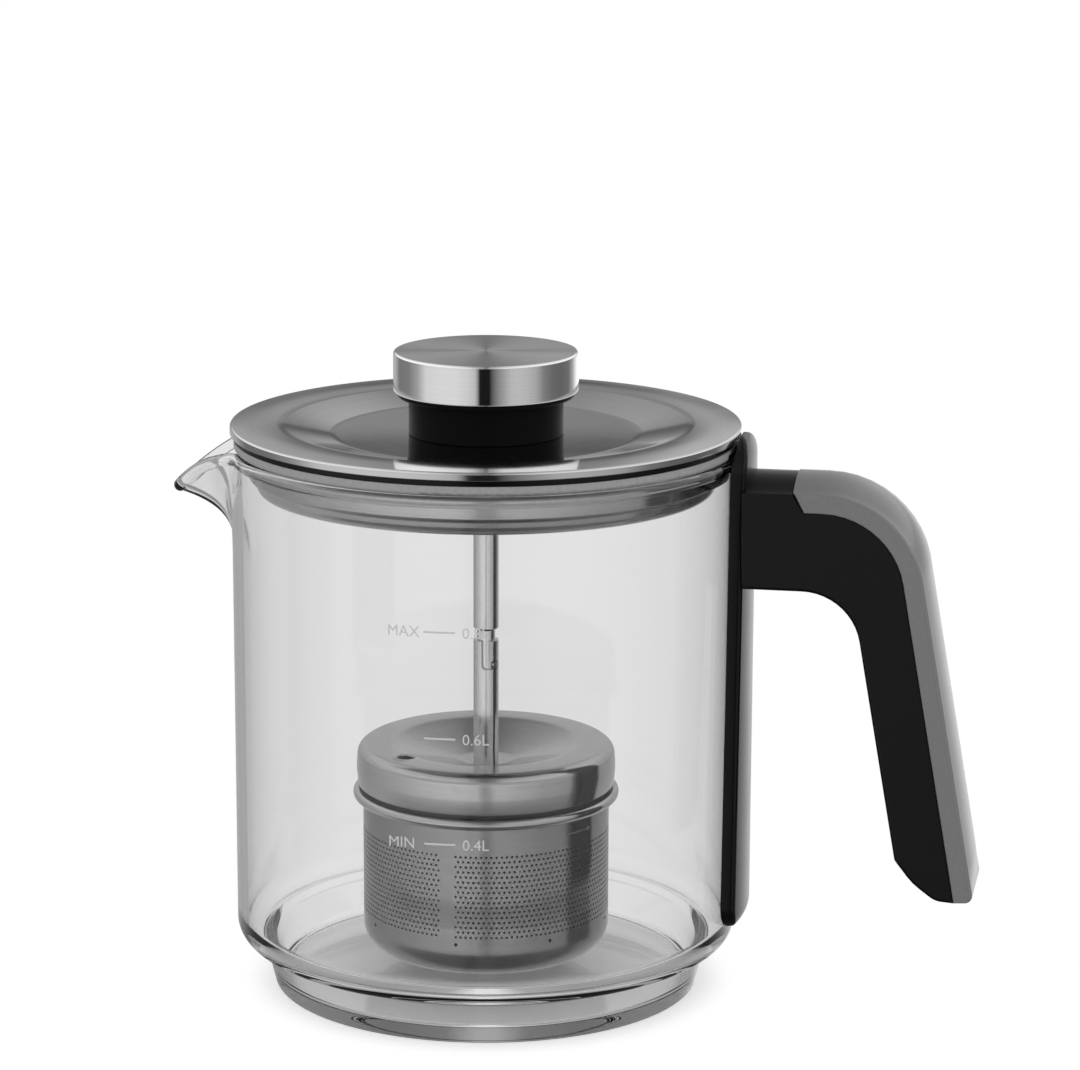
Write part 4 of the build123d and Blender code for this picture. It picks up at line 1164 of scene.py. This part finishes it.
def sheet_rows(tree, part, height, hole, rows, bottom, holed, every):
    """Vertices and faces of some rows of the basket's wall, with holes in every so many fields."""
    width = tau * BASKET_RADIUS / HOLE_COLUMNS
    tile = wall_tile("field_" + part, width, height, hole)
    plain = wall_tile("plain_" + part, width, height, 0)
    sheet = rolled_sheet(
        "sheet_" + part, tree, Holed_Field=tile, Plain_Field=plain, Columns=HOLE_COLUMNS, Rows=rows,
        Holed_Columns=holed, Hole_Every=every, Field_Width=width * MM,
        Field_Height=height * MM, Bottom=bottom * MM, Radius=BASKET_RADIUS * MM,
        Start_Azimuth=SHEET_START, Material=STEEL["basket"],
    )
    vertices = [tuple(v.co / MM) for v in sheet.data.vertices]
    faces = [tuple(face.vertices) for face in sheet.data.polygons]
    for used in (tile, plain, sheet):
        bpy.data.objects.remove(used)
    return vertices, faces


def basket_shell():
    """Cup with rows of fine holes, a plain seam, eight drain holes and plain sheet elsewhere."""
    tree = perforation_tree()
    parts = [
        sheet_rows(
            tree, "wall", height=HOLE_ROW_HEIGHT, hole=HOLE_RADIUS, rows=HOLE_ROWS,
            bottom=HOLES_BOTTOM, holed=HOLE_COLUMNS - SEAM_COLUMNS, every=1,
        ),
        sheet_rows(
            tree, "drains", height=HOLES_BOTTOM - DRAINS_BOTTOM, hole=DRAIN_RADIUS, rows=1,
            bottom=DRAINS_BOTTOM, holed=DRAIN_COUNT * DRAIN_EVERY, every=DRAIN_EVERY,
        ),
    ]
    inner = BASKET_RADIUS - BASKET_WALL
    floor_in = BASKET_BOTTOM + BASKET_WALL
    paths = []
    for wall, floor, corner in (
        (BASKET_RADIUS, BASKET_BOTTOM, BASKET_CORNER),
        (inner, floor_in, BASKET_CORNER - BASKET_WALL),
    ):
        corners = [
            (wall, DRAINS_BOTTOM, 0), (wall, floor, corner), (FLOOR_RING, floor, 0), (0, floor, 0),
        ]
        paths.append([(p.x, p.y) for p in rounded(corners)])
    holes_top = HOLES_BOTTOM + HOLE_ROWS * HOLE_ROW_HEIGHT
    paths.append([
        (BASKET_RADIUS, holes_top), (BASKET_RADIUS, RING_HEIGHT), (BASKET_RADIUS, BASKET_NECK),
        (inner, BASKET_NECK), (inner, holes_top),
    ])
    segments = 2 * HOLE_COLUMNS
    parts += [lathe_rows(path, segments, SHEET_START - tau / segments) for path in paths]
    return piece_from("basket_shell", *put_together(parts))


def out_of_the_light(face):
    """Whether a face is inside the basket or above its ring, under the cap: these faces get near
    black steel as painted shade.
    """
    outwards = face.normal.x * face.center.x + face.normal.y * face.center.y
    inner_side = outwards < FACING_OUT * hypot(face.center.x, face.center.y)
    above_floor = face.center.z > (BASKET_BOTTOM + BASKET_CORNER) * MM
    return above_floor and inner_side or face.center.z > RING_HEIGHT * MM


cup = finished(basket_shell(), "basket", "brushed_steel", STEEL["basket"], "basket_cup")
# painted shade: faces inside the basket and above its ring take the near black steel
second_finish(cup, STEEL["inside"], out_of_the_light)

ring_middle = BASKET_RADIUS + RING_RADIUS - RING_SEAT
ring_outline = []
for step in range(RING_STEPS):
    turn = tau * step / RING_STEPS
    across, up = RING_RADIUS * cos(turn), RING_RADIUS * sin(turn)
    ring_outline.append((ring_middle + across, RING_HEIGHT + up, 0))
ring = turned("basket_band", ring_outline)
finished(ring, "basket", "brushed_steel", STEEL["infuser"], "basket_ring")

arrow_neck = ARROW_LEFT + PRINT_LINE
arrow_head = [
    (arrow_neck, ARROW_HEIGHT - ARROW_HEAD / 2), (arrow_neck + ARROW_HEAD, ARROW_HEIGHT),
    (arrow_neck, ARROW_HEIGHT + ARROW_HEAD / 2),
]
arrow = [printed_line(ARROW_LEFT, ARROW_HEIGHT), (arrow_head, [(0, 1, 2)])]
turn_arrow = wrapped("turn_arrow", arrow, BASKET_RADIUS, ARROW_AZIMUTH)
finished(turn_arrow, "basket", "grey_cover", ETCHED)


# ---- CAD pieces that keep their own form ----
KEPT = {
    "rim_clip": BLACK, "wall_pad": SEAL_GREY, "grip_screws": STEEL["hardware"],
    "grip_inserts": BRASS, "lid_seal": SEAL_GREY, "lid_spacer": STEEL["hardware"],
    "knob_insert": BRASS,
    "coupling_pin": STEEL["hardware"], "rod_nut": STEEL["hardware"], "sealing_washer": SEAL_GREY,
    "stem_tube": STEEL["rod"], "stem_washer": SEAL_GREY, "stem_nut": STEEL["hardware"],
    "basket_lugs": STEEL["hardware"],
}
for node, material in KEPT.items():
    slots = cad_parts[node].data.materials
    slots.clear()
    slots.append(material)


# ---- Studio ----
def graded(tree, value, stops):
    """Grey read from a row of stops by a value between the first and the last."""
    low, high = stops[0][0], stops[-1][0]
    reader = add(tree, "ShaderNodeValToRGB", {"Fac": mapped(tree, value, (low, high))})
    ramp = reader.color_ramp
    while len(ramp.elements) > 1:
        ramp.elements.remove(ramp.elements[-1])
    for index, (place, tone) in enumerate(stops):
        share = (place - low) / (high - low)
        stop = ramp.elements[0] if index == 0 else ramp.elements.new(share)
        stop.position = share
        stop.color = grey(tone)
    return reader.outputs["Color"]


def light_by_direction():
    """World light: even for dull surfaces, bands of light and dark round the object for steel."""
    world = bpy.data.worlds.new("studio")
    bpy.context.scene.world = world
    world.use_nodes = True
    tree = world.node_tree
    tree.nodes.clear()
    kinds = add(tree, "ShaderNodeLightPath").outputs
    through = number(tree, "GREATER_THAN", kinds["Transmission Depth"], THROUGH_DEPTH)
    within = number(tree, "GREATER_THAN", kinds["Transmission Depth"], WITHIN_DEPTH)
    mirrored = number(tree, "GREATER_THAN", kinds["Glossy Depth"], MIRROR_DEPTH)

    way = add(tree, "ShaderNodeTexCoord").outputs["Generated"]
    from_front = {"Vector": way, "Angle": -FRONT_LIGHT}
    turned_way = add(tree, "ShaderNodeVectorRotate", from_front, rotation_type="Z_AXIS").outputs[0]
    parts = add(tree, "ShaderNodeSeparateXYZ", {"Vector": turned_way}).outputs
    ahead, aside, rise = parts["X"], parts["Y"], parts["Z"]
    azimuth = number(tree, "MULTIPLY", number(tree, "ARCTAN2", aside, ahead), 180 / pi)

    level = blended(tree, within, graded(tree, azimuth, BANDS), graded(tree, azimuth, INNER_BANDS))
    growth = number(tree, "MULTIPLY", mapped(tree, rise, *LIFT), mapped(tree, rise, *FALL))
    overhead = {0: graded(tree, aside, OVERHEAD), "Scale": growth}
    outer_above = add(tree, "ShaderNodeVectorMath", overhead, operation="SCALE").outputs[0]
    inner_above = graded(tree, aside, INNER_OVERHEAD)
    inner_above = blended(tree, mapped(tree, rise, INNER_RISE), INNER_LOW, inner_above)
    above = blended(tree, within, outer_above, inner_above)
    beneath = blended(tree, within, UNDERNEATH, graded(tree, ahead, INNER_UNDERNEATH))

    pattern = blended(tree, mapped(tree, rise, LEVEL_RISE), level, above)
    pattern = blended(tree, mapped(tree, rise, SINK), pattern, beneath)
    once_through = number(tree, "SUBTRACT", through, within)
    pattern = blended(tree, once_through, pattern, graded(tree, aside, WITHIN_GLASS))
    shown = blended(tree, through, DULL_LIGHT, graded(tree, azimuth, BEHIND_GLASS))
    shown = blended(tree, kinds["Is Diffuse Ray"], shown, DULL_LIGHT)
    shown = blended(tree, mirrored, shown, pattern)
    shown = blended(tree, kinds["Is Camera Ray"], shown, 1.0)
    light = add(tree, "ShaderNodeBackground", {"Color": shown})
    add(tree, "ShaderNodeOutputWorld", {"Surface": light.outputs[0]})


def studio_floor():
    """Pale round floor with a painted glow round the foot, dimmer under the basket as painted
    shade, that fades into the white surroundings away from the object.
    """
    rings = [(share * FLOOR_RADIUS, -FLOOR_DROP) for share in FLOOR_RINGS]
    floor = piece_from("studio_floor", *lathe_rows(rings, FLOOR_STEPS, 0))
    material, tree, surface = blank_material(
        "pale floor", Base_Color=grey(FLOOR_GREY), Emission_Color=grey(1.0), Specular_IOR_Level=0.0,
        Roughness=FLOOR_ROUGHNESS,
    )
    away = length_of(tree, place_on(tree))
    spread, fade = ([MM * distance for distance in ends] for ends in (PAINTED_GLOW_SPREAD, FLOOR_FADE))
    # painted light: the floor glows more with distance from the axis, dim under the basket as
    # painted shade, bright under the foot's rim
    feed(tree, surface, Emission_Strength=mapped(tree, away, spread, FLOOR_PAINTED_GLOW))
    white = mapped(tree, away, fade, interpolation_type="SMOOTHSTEP")
    kinds = add(tree, "ShaderNodeLightPath").outputs
    mirrored = number(tree, "GREATER_THAN", kinds["Glossy Depth"], MIRROR_DEPTH)
    through = number(tree, "GREATER_THAN", kinds["Transmission Depth"], THROUGH_DEPTH)
    white_or_grey = blended(tree, through, 1.0, FLOOR_THROUGH_GLASS)
    glow = add(tree, "ShaderNodeEmission", {"Color": white_or_grey})
    clear = add(tree, "ShaderNodeBsdfTransparent").outputs[0]
    shown = add(tree, "ShaderNodeMixShader", {0: white, 1: surface.outputs[0], 2: glow.outputs[0]})
    gone = add(tree, "ShaderNodeMixShader", {0: mirrored, 1: shown.outputs[0], 2: clear})
    tree.links.new(gone.outputs[0], tree.nodes["Material Output"].inputs["Surface"])
    floor.data.materials.append(material)


def camera_in_front():
    """Camera with a long lens, a little to the right and above."""
    settings = bpy.data.cameras.new("camera")
    settings.lens = CAMERA_LENS
    settings.sensor_width = SENSOR_WIDTH
    settings.sensor_fit = "HORIZONTAL"
    settings.shift_x, settings.shift_y = CAMERA_SHIFT
    camera = placed("camera", settings)
    camera.location = CAMERA_PLACE
    level = cos(CAMERA_PITCH)
    look = Vector((-sin(CAMERA_TURN) * level, cos(CAMERA_TURN) * level, -sin(CAMERA_PITCH)))
    camera.rotation_euler = look.to_track_quat("-Z", "Y").to_euler()
    return camera


light_by_direction()
studio_floor()
bpy.context.scene.camera = camera_in_front()
bpy.context.scene.view_settings.view_transform = "Standard"
